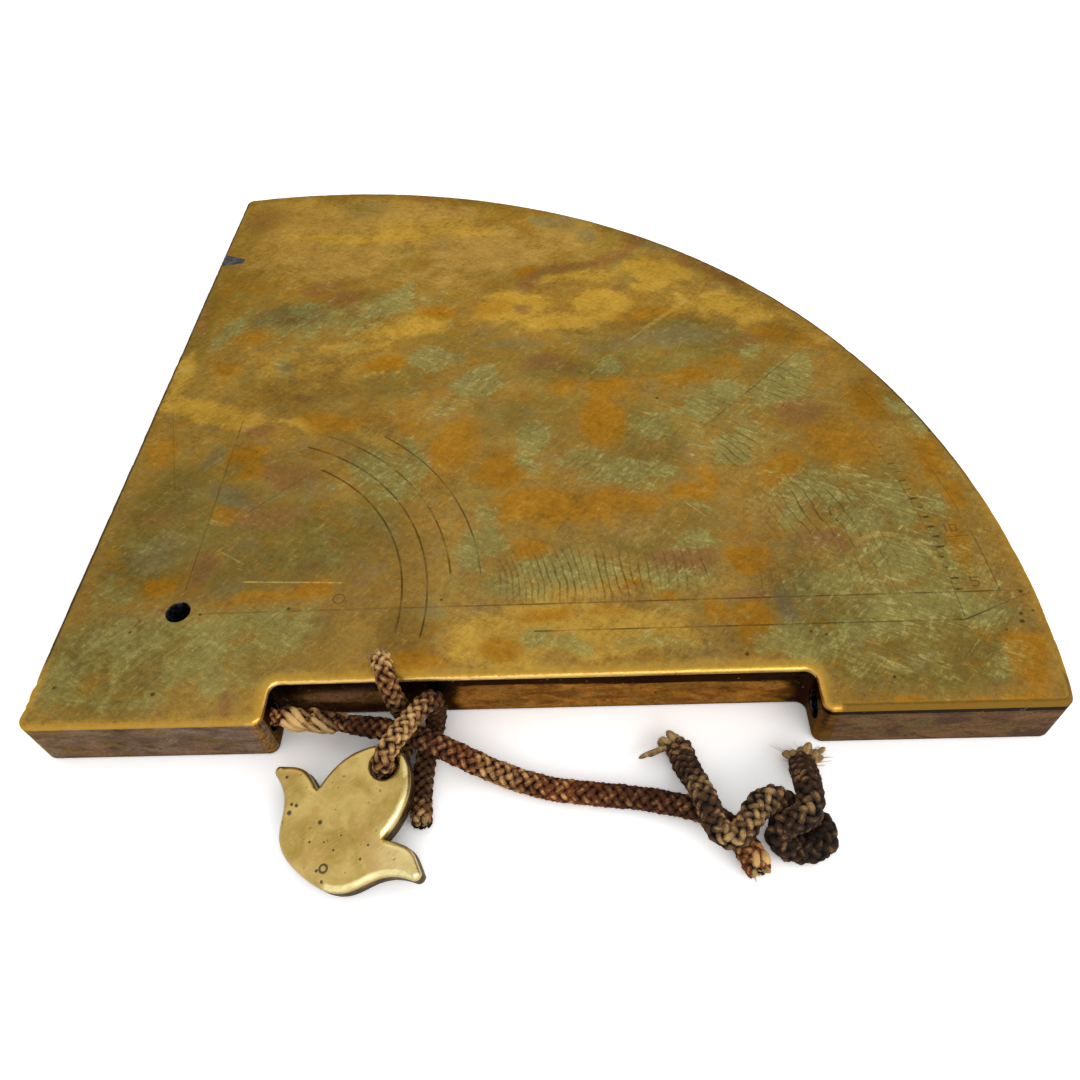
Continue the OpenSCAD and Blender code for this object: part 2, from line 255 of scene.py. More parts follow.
def inward(p: np.ndarray) -> np.ndarray:
    """Unit normals of a closed counter-clockwise outline that point into the metal."""
    t = unit_rows(np.roll(p, -1, axis=0) - np.roll(p, 1, axis=0))
    return np.stack([-t[:, 1], t[:, 0]], axis=1)


def line_noise(s: np.ndarray, row: float, size: float, seed: int) -> np.ndarray:
    """Lattice noise along a line, another for each row."""
    return lattice_noise(np.column_stack([s, 0 * s + row, 0 * s]), size, seed)


def capped_tubes(count: int, samples: int, sides: int) -> list:
    """Faces of several tubes of rings, one after another, both ends of each closed by a flat face."""
    faces = []
    for first in range(0, count * samples * sides, samples * sides):
        faces += grid_faces(samples, sides, first).tolist()
        faces.append([first + j for j in range(sides)][::-1])
        faces.append([first + (samples - 1) * sides + j for j in range(sides)])
    return faces


# Shader bench


class Signal:
    """A socket that adds, takes away and multiplies as a number does, with one Math node each."""

    def __init__(self, bench: "Bench", socket: bpy.types.NodeSocket) -> None:
        """Keep the socket and the bench that its nodes go on."""
        self.bench, self.socket = bench, socket

    def __add__(self, other: object) -> "Signal":
        """This plus another."""
        return self.bench.math("ADD", self, other)

    def __sub__(self, other: object) -> "Signal":
        """This less another."""
        return self.bench.math("SUBTRACT", self, other)

    def __rsub__(self, other: object) -> "Signal":
        """A number less this."""
        return self.bench.math("SUBTRACT", other, self)

    def __mul__(self, other: object) -> "Signal":
        """This times another."""
        return self.bench.math("MULTIPLY", self, other)


class Bench:
    """Adds nodes to one material and joins them, so that a finish reads as arithmetic.

    An input is a Signal, a number, a colour or a vector.
    """

    def __init__(self, name: str) -> None:
        """Start an empty material with its output and one Principled shader."""
        self.material = bpy.data.materials.new(name)
        self.material.use_nodes = True
        self.tree = self.material.node_tree
        self.tree.nodes.clear()
        self.out = self.node("OutputMaterial")
        self.shader = self.node("BsdfPrincipled")
        self.tree.links.new(self.shader.outputs[0], self.out.inputs[0])
        self.place = Signal(self, self.node("TexCoord").outputs["Object"])
        self.mm = self.vector("SCALE", self.place, scale=1 / MM)

    def node(self, kind: str, **settings: object) -> bpy.types.Node:
        """A new shader node of that kind with its settings."""
        node = self.tree.nodes.new(f"ShaderNode{kind}")
        for key, value in settings.items():
            setattr(node, key, value)
        return node

    def put(self, socket: bpy.types.NodeSocket, value: object) -> None:
        """Link a signal to a socket, or set the socket to a value."""
        if isinstance(value, Signal):
            self.tree.links.new(value.socket, socket)
        elif value is not None:
            socket.default_value = value

    def fed(self, node: bpy.types.Node, values: tuple, out: int = 0) -> Signal:
        """One output of a node whose inputs take these values in order."""
        for socket, value in zip(node.inputs, values):
            self.put(socket, value)
        return Signal(self, node.outputs[out])

    def named(self, node: bpy.types.Node, **values: object) -> Signal:
        """First output of a node whose inputs take these values by name."""
        for key, value in values.items():
            self.put(node.inputs[key.replace("_", " ")], value)
        return Signal(self, node.outputs[0])

    def math(self, kind: str, *values: object, clamp: bool = False) -> Signal:
        """One Math node."""
        return self.fed(self.node("Math", operation=kind, use_clamp=clamp), values)

    def product(self, first: Signal, *others: object) -> Signal:
        """The first value times each of the others in turn."""
        for value in others:
            first = first * value
        return first

    def vector(self, kind: str, a: object, b: object = None, scale: object = None) -> Signal:
        """One Vector Math node, giving its number for DOT_PRODUCT, LENGTH and DISTANCE."""
        number = kind in ("DOT_PRODUCT", "LENGTH", "DISTANCE")
        return self.fed(self.node("VectorMath", operation=kind), (a, b, None, scale), int(number))

    def apart(self, a: object, b: object) -> Signal:
        """How far two numbers are apart."""
        return self.math("ABSOLUTE", self.math("SUBTRACT", a, b))

    def ramped(
        self, value: object, low: object, high: object, at_low: float = 0, at_high: float = 1
    ) -> Signal:
        """A smooth step from one value to another as the input goes from low to high."""
        node = self.node("MapRange", interpolation_type="SMOOTHSTEP")
        return self.fed(node, (value, low, high, at_low, at_high))

    def noise(
        self, at: object, scale: float, detail: float = 3, rough: float = 0.55, warp: float = 0
    ) -> Signal:
        """Noise from 0 to 1 with that many features in a unit."""
        node = self.node("TexNoise")
        return self.named(node, Vector=at, Scale=scale, Detail=detail, Roughness=rough, Distortion=warp)

    def turned(
        self, at: object, degrees: float, scale: tuple = (1, 1, 1), shift: tuple = (0, 0, 0)
    ) -> Signal:
        """Coordinates turned about Z first and stretched after, so that grain runs along that angle."""
        node = self.node("Mapping", vector_type="TEXTURE")
        return self.fed(node, (at, shift, (0, 0, math.radians(degrees)), tuple(1 / v for v in scale)))

    def stirred(self, first: object, *rows: tuple) -> Signal:
        """The first value plus each noise less a half, times its gain."""
        for value, gain in rows:
            first = self.math("ADD", first, (value - 0.5) * gain)
        return first

    def mix(self, share: object, a: object, b: object) -> Signal:
        """Blend from one colour to another."""
        node = self.node("Mix", data_type="RGBA")
        for key, value in ((0, share), (6, a), (7, b)):
            self.put(node.inputs[key], value)
        return Signal(self, node.outputs[2])

    def laid(self, under: object, cover: object, colour: Enum) -> Signal:
        """A named colour laid over another as far as its cover goes."""
        return self.mix(cover, under, tint(*colour.value))

    def between(self, share: object, a: Enum, b: Enum) -> Signal:
        """A blend of two named colours."""
        return self.mix(share, tint(*a.value), tint(*b.value))

    def attribute(self, name: str, part: str = "Fac") -> Signal:
        """A painted attribute of the mesh."""
        return Signal(self, self.node("Attribute", attribute_name=name).outputs[part])

    def split(self, value: object, kind: str = "XYZ") -> tuple[Signal, ...]:
        """The three numbers of a vector or, with kind Color, of a colour."""
        node = self.node(f"Separate{kind}")
        self.put(node.inputs[0], value)
        return tuple(Signal(self, out) for out in node.outputs)

    def joined(self, x: object, y: object, z: object) -> Signal:
        """A vector from three numbers."""
        return self.fed(self.node("CombineXYZ"), (x, y, z))

    def bump(self, height: object, distance: float, strength: float = 1.0) -> Signal:
        """A bump of that height in metres."""
        return self.named(self.node("Bump"), Strength=strength, Distance=distance, Height=height)

    def finish(
        self, color: object, rough: object, metal: object, normal: object = None
    ) -> bpy.types.Material:
        """Feed the Principled shader and give the material."""
        self.named(self.shader, Base_Color=color, Roughness=rough, Metallic=metal, Normal=normal)
        return self.material


# Finishes


class Tone(Enum):
    """Tones of the plate's face, as they are seen under soft white light."""

    OLIVE = (121, 102, 48)
    BROWN = (146, 115, 54)
    VERDIGRIS = (133, 129, 71)
    FLECK = (170, 163, 104)
    ORANGE = (156, 107, 26)
    GOLD = (178, 140, 58)
    STRAW = (163, 131, 71)
    PLUM = (131, 92, 56)
    SLATE = (120, 110, 76)
    GRAIN = (196, 160, 88)
    SCORE = (206, 174, 100)
    SCORE_DIRT = (92, 68, 30)
    LINE_DIRT = (52, 34, 14)
    PIT_DIRT = (56, 38, 18)
    # Painted shade: the dark of the rounded edge along the limb and the left side
    EDGE_SHADE = (52, 34, 16)
    SCRATCH = (204, 178, 104)
    GLOW = (196, 156, 58)
    RIM = (198, 146, 54)
    # Worn bright brass with a painted highlight: the pale line low on the front arris
    LIP_HIGHLIGHT = (244, 208, 124)


class WallTone(Enum):
    """Tones of the plate's walls and of the inside of its bores."""

    COOL_DARK = (96, 82, 82)
    COOL = (134, 115, 108)
    COOL_RUST = (112, 94, 58)
    LEADEN = (92, 92, 98)
    BROWN_DARK = (76, 54, 40)
    BROWN = (114, 82, 52)
    BROWN_RUST = (98, 84, 50)
    AMBER_DARK = (112, 72, 40)
    AMBER = (166, 114, 60)
    AMBER_RUST = (120, 98, 60)
    BLOT = (58, 44, 38)
    # Painted shade
    SHADE_BLACK = (13, 9, 11)
    # Coppery stains and a painted reflection
    COPPER_AND_REFLECTION = (150, 112, 92)
    FLAKE = (150, 142, 136)
    GILT_DARK = (104, 72, 36)
    GILT = (164, 120, 62)
    # Painted shade at the foot of the walls
    FOOT_SHADE = (48, 36, 30)
    # Painted shade: the inside of the bores, near black with grey specks
    BORE_SHADE = (10, 9, 10)
    HOLLOW_DUST = (70, 74, 84)


class BobTone(Enum):
    """Tones of the bob: its faces, its pits, its painted highlight and the painted shade of its sides."""

    DEEP = (168, 140, 68)
    PALE = (204, 176, 104)
    GRAIN = (214, 186, 120)
    WARM = (182, 140, 78)
    DULL = (150, 120, 58)
    PIT = (46, 29, 12)
    # Painted highlight
    HIGHLIGHT = (252, 236, 174)
    # Painted shade of the sides
    SIDE_SHADE_DARK = (22, 15, 10)
    SIDE = (104, 76, 38)


class LeadTone(Enum):
    """Tones of the lead repair."""

    DARK = (18, 16, 19)
    GREY = (62, 59, 66)
    PALE = (120, 112, 116)
    RUST = (96, 74, 44)


@dataclass(frozen=True)
class Stain:
    """One soft oval of a tone on the plate's face, in millimetres and degrees."""

    x: float
    y: float
    along: float
    across: float
    strength: float
    turn: float = 0.0

    def cover(self, at: np.ndarray) -> np.ndarray:
        """How much of the stain lies at each place: 1 at its heart, 0 beyond its rim."""
        a = math.radians(self.turn)
        dx, dy = at[:, 0] - self.x, at[:, 1] - self.y
        u = (dx * math.cos(a) + dy * math.sin(a)) / self.along
        v = (dy * math.cos(a) - dx * math.sin(a)) / self.across
        d = np.sqrt(u * u + v * v)
        s = np.clip((1.45 - d) / 1.1, 0, 1)
        return self.strength * s * s * (3 - 2 * s)


def stains(*rows: tuple[float, ...]) -> tuple[Stain, ...]:
    """Stains from rows of x, y, along, across, strength and, where it isn't 0, turn."""
    return tuple(Stain(*row) for row in rows)


@dataclass(frozen=True)
class PatinaLayout:
    """Where each tone of the patina lies on the plate's face."""

    verdigris: tuple[Stain, ...] = stains(
        (-17, 122, 4, 11, 0.8, -20), (8, 137, 8, 5, 0.9), (2, 121, 4, 2, 0.7), (30, 129, 30, 2, 0.95, 16),
        (41, 137, 10, 6, 1, 25), (36, 132, 5, 5, 0.9), (47, 146, 5, 4, 0.5), (56, 102, 6, 8, 0.95),
        (64, 104, 6, 5, 0.5), (76, 90, 7, 9, 1), (70, 87, 4, 6, 0.8), (66, 78, 5, 4, 0.4), (95, 62, 6, 6, 1),
        (93, 52, 4, 5, 0.75), (109, 52, 7, 4, 0.6), (118, 97, 5, 4, 0.9), (42, 53, 4, 7, 1, 42),
        (57, 58, 3, 9, 0.9, 42), (33, 47, 2, 2, 0.6), (82, 30, 5, 5, 0.75), (76, 18, 4, 8, 0.95),
        (83, 20, 4, 5, 0.7), (38, 16, 4, 4, 0.4), (-19, 24, 5, 3, 0.6), (86, 4, 8, 4, 0.7),
        (104, 9, 18, 7, 0.75), (135, 21, 6, 3, 0.95, -20), (128, 8, 12, 5, 0.6), (122, 46, 13, 5, 0.65),
        (138, 32, 5, 2, 0.6, -40), (151, 56, 5, 9, 1, -40), (158, 62, 4, 5, 0.8), (146, 74, 9, 6, 0.7),
        (153, 80, 8, 5, 0.85, 30), (172, 82, 12, 6, 1, 38), (166, 98, 5, 4, 0.8), (181, 91, 3, 7, 0.8, -20),
        (131, 66, 6, 7, 0.5), (206, 67, 2.5, 10, 0.8, 15), (172, 34, 13, 5, 0.8), (163, 25, 5, 4, 0.9),
        (180, 24, 8, 6, 0.7), (192, 32, 5, 12, 0.7), (188, 10, 12, 9, 0.75), (168, 3, 12, 4, 1),
        (190, -4, 18, 5, 0.95), (206, -8, 8, 6, 0.8), (158, -14, 12, 5, 0.8), (176, -10, 12, 4, 0.8),
        (93, -13, 4, 4, 0.95), (101, -15, 8, 3, 0.7), (122, -15, 12, 3, 0.55), (15, -6, 18, 4, 1),
        (8, -13, 10, 5, 0.9, 30), (13, -20, 4, 6, 0.8), (-10, -9, 16, 6, 0.55), (-5, -25, 10, 3, 0.5),
        (-20, -14, 8, 6, 0.5), (204, 30, 5, 6, 0.5), (204, -20, 10, 5, 0.4), (180, -22, 14, 6, 0.35),
        (62, 122, 3, 3, 0.4), (28, 112, 12, 2, 0.35, 20), (6, 102, 4, 4, 0.4), (186, 4, 30, 16, 0.45),
        (176, 34, 22, 16, 0.4), (150, 70, 18, 20, 0.3), (0, -10, 30, 14, 0.45), (30, -8, 12, 8, 0.5),
        (-24, -20, 8, 10, 0.6), (-20, 6, 8, 8, 0.5), (50, 50, 10, 16, 0.5, 42), (20, 128, 40, 12, 0.35, 12),
    )
    orange: tuple[Stain, ...] = stains(
        (-8, 117, 8, 4, 0.8), (-13, 102, 6, 5, 0.7), (42, 100, 7, 5, 1), (57, 129, 9, 5, 0.75),
        (70, 62, 9, 13, 0.65), (84, 48, 9, 9, 0.8), (116, 68, 8, 13, 1), (118, 84, 9, 6, 0.8),
        (103, 84, 7, 6, 0.6), (142, 88, 10, 5, 0.7), (155, 95, 11, 5, 0.55), (98, 33, 22, 9, 0.8),
        (118, 36, 14, 6, 0.7), (94, 17, 6, 5, 1), (136, 38, 6, 4, 0.9), (142, 44, 3, 5, 0.9),
        (163, 46, 9, 5, 0.95, 35), (158, 40, 4, 3, 0.7), (182, 56, 14, 12, 0.65), (196, 72, 7, 10, 0.7),
        (208, 50, 6, 12, 0.75), (212, 33, 4, 8, 0.7), (206, 13, 4, 11, 0.7), (148, 13, 6, 5, 1.3),
        (147, -7, 6, 8, 1.2), (138, -4, 4, 4, 0.8), (118, 5, 3, 3, 1), (106, 10, 2, 2, 1),
        (126, 1, 3, 2.5, 0.8), (97, -5, 9, 4, 0.7), (84, -15, 7, 4, 0.8), (112, -6, 6, 3, 0.5),
        (64, -17, 12, 3, 0.8), (5, 60, 8, 7, 0.85), (10, 52, 5, 6, 0.8), (-23, 62, 8, 9, 0.6),
        (-9, 8, 4, 4, 0.9), (20, 3, 16, 2.5, 0.7), (34, 5, 7, 4, 0.8), (5, 34, 5, 4, 0.7),
        (30, 73, 13, 6, 0.7, -20), (56, 67, 8, 5, 0.55), (60, 84, 6, 4, 0.4), (-28, -16, 4, 8, 0.6),
        (160, 46, 6, 4, 0.5), (190, -31.5, 30, 2.4, 0.9), (212, -20, 6, 10, 0.8), (-6, 0.5, 3, 2, 1.2),
        (-30, -24, 3, 9, 0.9), (77, 132, 10, 6, 0.5), (175, 108, 14, 7, 0.6, -30), (133, 122, 14, 6, 0.6),
        (200, 40, 4, 10, 0.4), (-14, 150, 12, 6, 0.4), (90, 152, 6, 4, 0.8),
    )
    gold: tuple[Stain, ...] = stains(
        (40, 186, 20, 12, 0.5, -6), (20, 182, 32, 4, 0.7, -5), (62, 188, 20, 8, 0.5, -20),
        (85, 131, 14, 10, 0.95), (117, 130, 10, 9, 1.3), (100, 120, 16, 6, 0.9), (138, 150, 14, 7, 0.9, -15),
        (134, 141, 8, 6, 0.8), (160, 126, 14, 8, 0.75, -35), (108, 147, 20, 4, 0.6, 8),
        (-10, 79, 22, 5, 1, -12), (22, 73, 14, 3, 0.8, -14), (-27, 98, 4, 18, 0.6), (45, 121, 18, 7, 0.7, 10),
        (30, 112, 14, 4, 0.6), (98, 30, 18, 6, 0.4), (86, -12, 16, 8, 1.2), (112, -12, 22, 7, 1.1),
        (96, -4, 14, 3, 0.9), (106, 6, 22, 8, 0.6), (146, 130, 8, 16, 0.5, 30), (20, 100, 34, 14, 0.35),
        (44, 66, 14, 5, 0.5, -40), (185, 112, 5, 16, 0.5, 33),
    )
    plum: tuple[Stain, ...] = stains(
        (12, 149, 9, 4, 0.9), (22, 141, 7, 5, 0.95), (26, 133, 4, 3, 0.8), (92, 146, 5, 7, 0.8),
        (104, 154, 14, 3.5, 0.95, 15), (120, 160, 10, 5, 0.9, 28), (130, 170, 8, 5, 1.1, 35),
        (150, 158, 5, 12, 0.8, 42), (162, 145, 5, 13, 0.75, 40), (185, 121, 4, 15, 0.6, 33),
        (88, 129, 4, 4, 0.7), (123, 140, 4, 3, 0.75), (-20, 200, 10, 14, 0.55), (45, 213, 12, 3, 0.7, -12),
        (60, 203, 8, 3, 0.5, -20), (98, 96, 11, 5, 0.7), (175, 70, 9, 7, 0.8), (170, 16, 9, 4, 0.8),
        (133, 14, 9, 6, 0.75), (148, 1, 8, 3, 0.6), (20, 50, 9, 7, 0.65), (15, 35, 12, 7, 0.6),
        (0, 15, 3, 8, 0.7), (-16, 35, 10, 6, 0.45), (6, 71, 6, 3, 0.9), (19, 87, 6, 2, 0.8),
        (54, 172, 6, 4, 0.5), (26, 178, 4, 3, 0.5), (-28, 130, 4, 12, 0.5), (157, -3, 3, 9, 0.6),
        (165, 106, 12, 5, 0.5), (-5.5, 0.8, 2.6, 1.5, 1.3, 10), (18, -27, 2, 5, 0.8, 20),
    )
    slate: tuple[Stain, ...] = stains(
        (-8, 127, 3, 4, 0.9), (12, 131, 9, 4, 0.8), (7, 101, 4, 4, 0.7), (-5, 58, 3, 8, 0.8),
        (5, 42, 7, 3.5, 0.9, -45), (-14, 20, 8, 8, 0.6), (66, -3, 6, 3, 0.5), (157, -3, 3, 8, 0.9),
        (113, 178, 5, 6, 0.75), (102, 188, 10, 6, 0.8, -30), (22, 208, 12, 8, 0.5), (138, 168, 8, 6, 0.5),
        (2, 131, 15, 9, 0.9), (140, 109, 20, 6, 0.75), (118, 107, 12, 5, 0.6, 20), (86, 108, 14, 4, 0.6),
        (143, 164, 5, 4, 0.7), (28, 45, 9, 6, 0.45), (66, 104, 7, 5, 0.6), (70, 90, 5, 9, 0.5),
        (8, 7, 7, 4, 0.5), (-10, 0, 14, 6, 0.3), (104, 7, 14, 6, 0.5), (196, 14, 10, 5, 0.3),
        (56, 176, 5, 4, 0.4),
    )
    olive: tuple[Stain, ...] = stains(
        (-14, 30, 16, 30, 0.9), (20, 24, 34, 22, 0.8), (-12, -14, 18, 18, 0.9), (30, -12, 20, 12, 0.7),
        (50, 40, 12, 26, 0.6), (60, 110, 16, 12, 0.5), (50, 90, 22, 10, 0.6), (-28, 120, 6, 30, 0.8),
        (96, 72, 20, 14, 0.5), (128, 58, 12, 20, 0.8), (112, 98, 40, 12, 0.7), (150, 108, 24, 14, 0.8, -20),
        (185, -14, 34, 16, 0.9), (180, 40, 24, 24, 0.6), (198, 20, 14, 30, 0.7), (110, -10, 24, 6, 0.5),
        (128, 24, 20, 14, 0.6), (170, 76, 14, 24, 0.5), (60, 160, 16, 10, 0.5), (-22, 190, 8, 20, 0.5),
        (20, 140, 30, 8, 0.5),
    )
    straw: tuple[Stain, ...] = stains(
        (-5, 195, 28, 24, 1), (40, 195, 34, 20, 0.9, -10), (10, 168, 34, 16, 0.8),
        (70, 172, 34, 18, 0.9, -20), (105, 160, 18, 10, 0.3, -30), (60, 152, 26, 8, 0.5),
        (105, 180, 14, 12, 0.8, -30), (140, 140, 14, 10, 0.3, -40), (-10, 128, 10, 8, 0.4),
        (38, 134, 15, 6, 0.7, 15), (120, 28, 12, 8, 0.4),
    )
    # Painted shade: spots where the face is darkened
    soil: tuple[Stain, ...] = stains(
        (-22, 152, 14, 20, 0.55), (80, 152, 14, 7, 0.5), (0, 132, 16, 10, 0.5), (20, 90, 22, 14, 0.45),
        (42, 68, 16, 14, 0.5), (80, 50, 12, 12, 0.45), (50, 14, 18, 20, 0.5), (158, 6, 10, 16, 0.6),
        (144, -10, 10, 8, 0.5), (60, -10, 8, 9, 0.7), (178, 110, 10, 8, 0.55), (198, 74, 7, 12, 0.5),
        (118, 114, 14, 8, 0.4), (-24, 186, 9, 20, 0.5), (160, 148, 7, 14, 0.5, 40), (100, 92, 12, 8, 0.4),
        (0, 10, 14, 8, 0.35), (100, 150, 16, 5, 0.35, 15), (-4, 44, 18, 18, 0.4), (22, 56, 12, 12, 0.35),
        (80, 108, 12, 8, 0.4), (82, 70, 14, 12, 0.4), (80, 12, 8, 10, 0.5), (-4, 16, 24, 16, 0.15),
        (-4, 80, 16, 10, 0.2), (66, 209, 20, 4, 0.5, -18), (130, 174, 14, 4, 0.5, -40),
        (160, 152, 8, 12, 0.5, 40), (140, 150, 12, 8, 0.35), (184, 128, 6, 10, 0.4, 33),
        (140, 80, 14, 12, 0.25), (112, 56, 14, 10, 0.2),
    )
    hatching: tuple[Stain, ...] = stains(
        (106, 8, 24, 10, 1), (134, 10, 8, 8, 0.7), (172, 30, 16, 14, 0.9), (184, 12, 12, 14, 0.6),
        (153, 56, 7, 11, 1, -30), (172, 82, 9, 12, 0.9, -40), (158, 4, 8, 6, 0.5), (146, 74, 6, 6, 0.4),
    )

    def paint(self, at: np.ndarray) -> dict[str, np.ndarray]:
        """Cover of every tone at each place, its rims pushed about by layered noise.

        Args:
            at: n by 3 places in millimetres.

        Returns:
            One array of n values for each tone's name. The fans of trial strokes keep sharp rims.
        """
        moved = at.copy()
        for k in range(2):
            for reach, size, seed in ((5.0, 24, 31), (2.6, 9, 83), (1.2, 4, 53)):
                moved[:, k] += reach * layered_noise(at, size, seed + 7 * k)
        places = {item.name: at if item.name == "hatching" else moved for item in fields(self)}
        return {n: np.max([s.cover(p) for s in getattr(self, n)], axis=0) for n, p in places.items()}


class Scribe:
    """Draws engraved lines into a finish, as cover from 0 to 1 on the plate's face."""

    def __init__(self, bench: Bench, face: Signal) -> None:
        """Keep the bench and the plate's face coordinates, and work out radius and angle.

        Args:
            bench: where the nodes go.
            face: place in millimetres, flattened to the face.
        """
        self.bench, self.face = bench, face
        self.radius = bench.vector("LENGTH", face)
        self.x, y, _ = bench.split(face)
        self.angle = bench.math("DEGREES", bench.math("ARCTAN2", y, self.x))

    def stroke(self, distance: object, width: float) -> Signal:
        """Cover from the distance to a line's middle."""
        return self.bench.ramped(distance, width * 0.28, width * 0.72, 1, 0)

    def line(self, x0: float, y0: float, x1: float, y1: float, width: float) -> Signal:
        """A straight line: distance to the nearest point of the segment from 0 to 1."""
        b = self.bench
        start, way = Vector((x0, y0, 0)), Vector((x1 - x0, y1 - y0, 0))
        dot = b.vector("DOT_PRODUCT", b.vector("SUBTRACT", self.face, start), way)
        along = b.math("DIVIDE", dot, way.length_squared, clamp=True)
        foot = b.vector("ADD", b.vector("SCALE", way, scale=along), start)
        return self.stroke(b.vector("DISTANCE", self.face, foot), width)

    def arc(self, r: float, a0: float, a1: float, width: float) -> Signal:
        """An arc about the apex: distance to its radius, between two angles."""
        return self.stroke(self.bench.apart(self.radius, r), width) * self.window(self.angle, a0, a1, 40 / r)

    def window(self, value: object, low: float, high: float, soft: float) -> Signal:
        """1 between two limits, 0 outside them."""
        b = self.bench
        return b.ramped(value, low - soft, low + soft) * b.ramped(value, high - soft, high + soft, 1, 0)

    def strokes(self, r: float, length: float, a0: float, a1: float, width: float) -> Signal:
        """Strokes that stand on an arc, one each degree: distance to the nearest whole degree."""
        b = self.bench
        turns = b.math("DIVIDE", self.angle, 1.0)
        ticks = self.stroke(b.apart(turns, b.math("ROUND", turns)) * (math.radians(1.0) * r), width)
        return ticks * (self.window(self.radius, r, r + length, 0.2) * self.window(self.angle, a0, a1, 0.1))

    def fan(self, ratio: float, width: float) -> Signal:
        """Circles through the apex, each diameter this share of the one before.

        The circle that passes through a place has diameter (x2 + y2) / x. The cover comes from
        how far the logarithm of that diameter is from a whole number of ratios.
        """
        b = self.bench
        over = b.math("DIVIDE", self.radius * self.radius, b.math("MAXIMUM", self.x, 1))
        steps = b.math("DIVIDE", b.math("LOGARITHM", b.math("DIVIDE", over, 200), math.e), math.log(ratio))
        steps = steps + b.ramped(b.noise(self.face, 0.08, 2), 0.3, 0.7, -0.3, 0.3)
        off = b.apart(steps, b.math("ROUND", steps))
        return self.stroke(off * (self.radius * -math.log(ratio)), width)

    def round_mark(self, x: float, y: float, radius: float, width: float) -> Signal:
        """A small circle: distance to its own radius about its centre."""
        b = self.bench
        return self.stroke(b.apart(b.vector("DISTANCE", self.face, (x, y, 0.0)), radius), width)

    def dots(self, rows: tuple[tuple[float, float, float], ...]) -> Signal:
        """Round pits from rows of x, y and radius."""
        b = self.bench
        far = ((b.vector("DISTANCE", self.face, (x, y, 0.0)), r) for x, y, r in rows)
        return self.all_of(*(b.ramped(d, r * 0.5, r * 1.1, 1, 0) for d, r in far))

    def all_of(self, *parts: object) -> Signal:
        """The strongest of several covers."""
        out = parts[0]
        for part in parts[1:]:
            out = self.bench.math("MAXIMUM", out, part)
        return out


class Skin:
    """The coordinates, noises and painted tones that the layers of the plate's finish share."""

    def __init__(self, b: Bench) -> None:
        """Make noise at five sizes, and rubbing marks that run in two directions."""
        self.bench = b
        self.x, self.y, self.z = b.split(b.mm)
        self.face = b.joined(self.x, self.y, 0.0)
        self.broad = b.noise(b.mm, 0.045, 3, 0.55, 0.3)
        self.cloud = b.noise(b.mm, 0.13, 6, 0.6, 0.5)
        self.grit = b.noise(b.mm, 0.75, 5, 0.7)
        self.fine = b.noise(b.mm, 2.6, 3, 0.7)
        self.rub = b.noise(b.turned(b.mm, 47, (0.26, 0.95, 1)), 1, 4, 0.66, 0.5)
        self.rub_b = b.noise(b.turned(b.mm, -28, (0.24, 1.0, 1)), 1, 4, 0.66, 0.5)
        self.streak = b.split(b.mix(b.ramped(self.broad, 0.42, 0.58), self.rub, self.rub_b))[0]
        self.verdigris, self.orange, self.gold = b.split(b.attribute("tones", "Color"), "Color")
        self.slate, self.shade, self.olive = b.split(b.attribute("relief", "Color"), "Color")
        self.plum, self.hatching = b.attribute("tones", "Alpha"), b.attribute("relief", "Alpha")

    def cover(self, mask: object, share: float = 1) -> Signal:
        """Cover of a tone with a broken rim."""
        rows = (self.cloud, 0.9), (self.streak, 0.9 * 0.6), (self.grit, 0.3)
        return self.bench.ramped(self.bench.stirred(mask, *rows), 0.14, 0.78, 0, share)


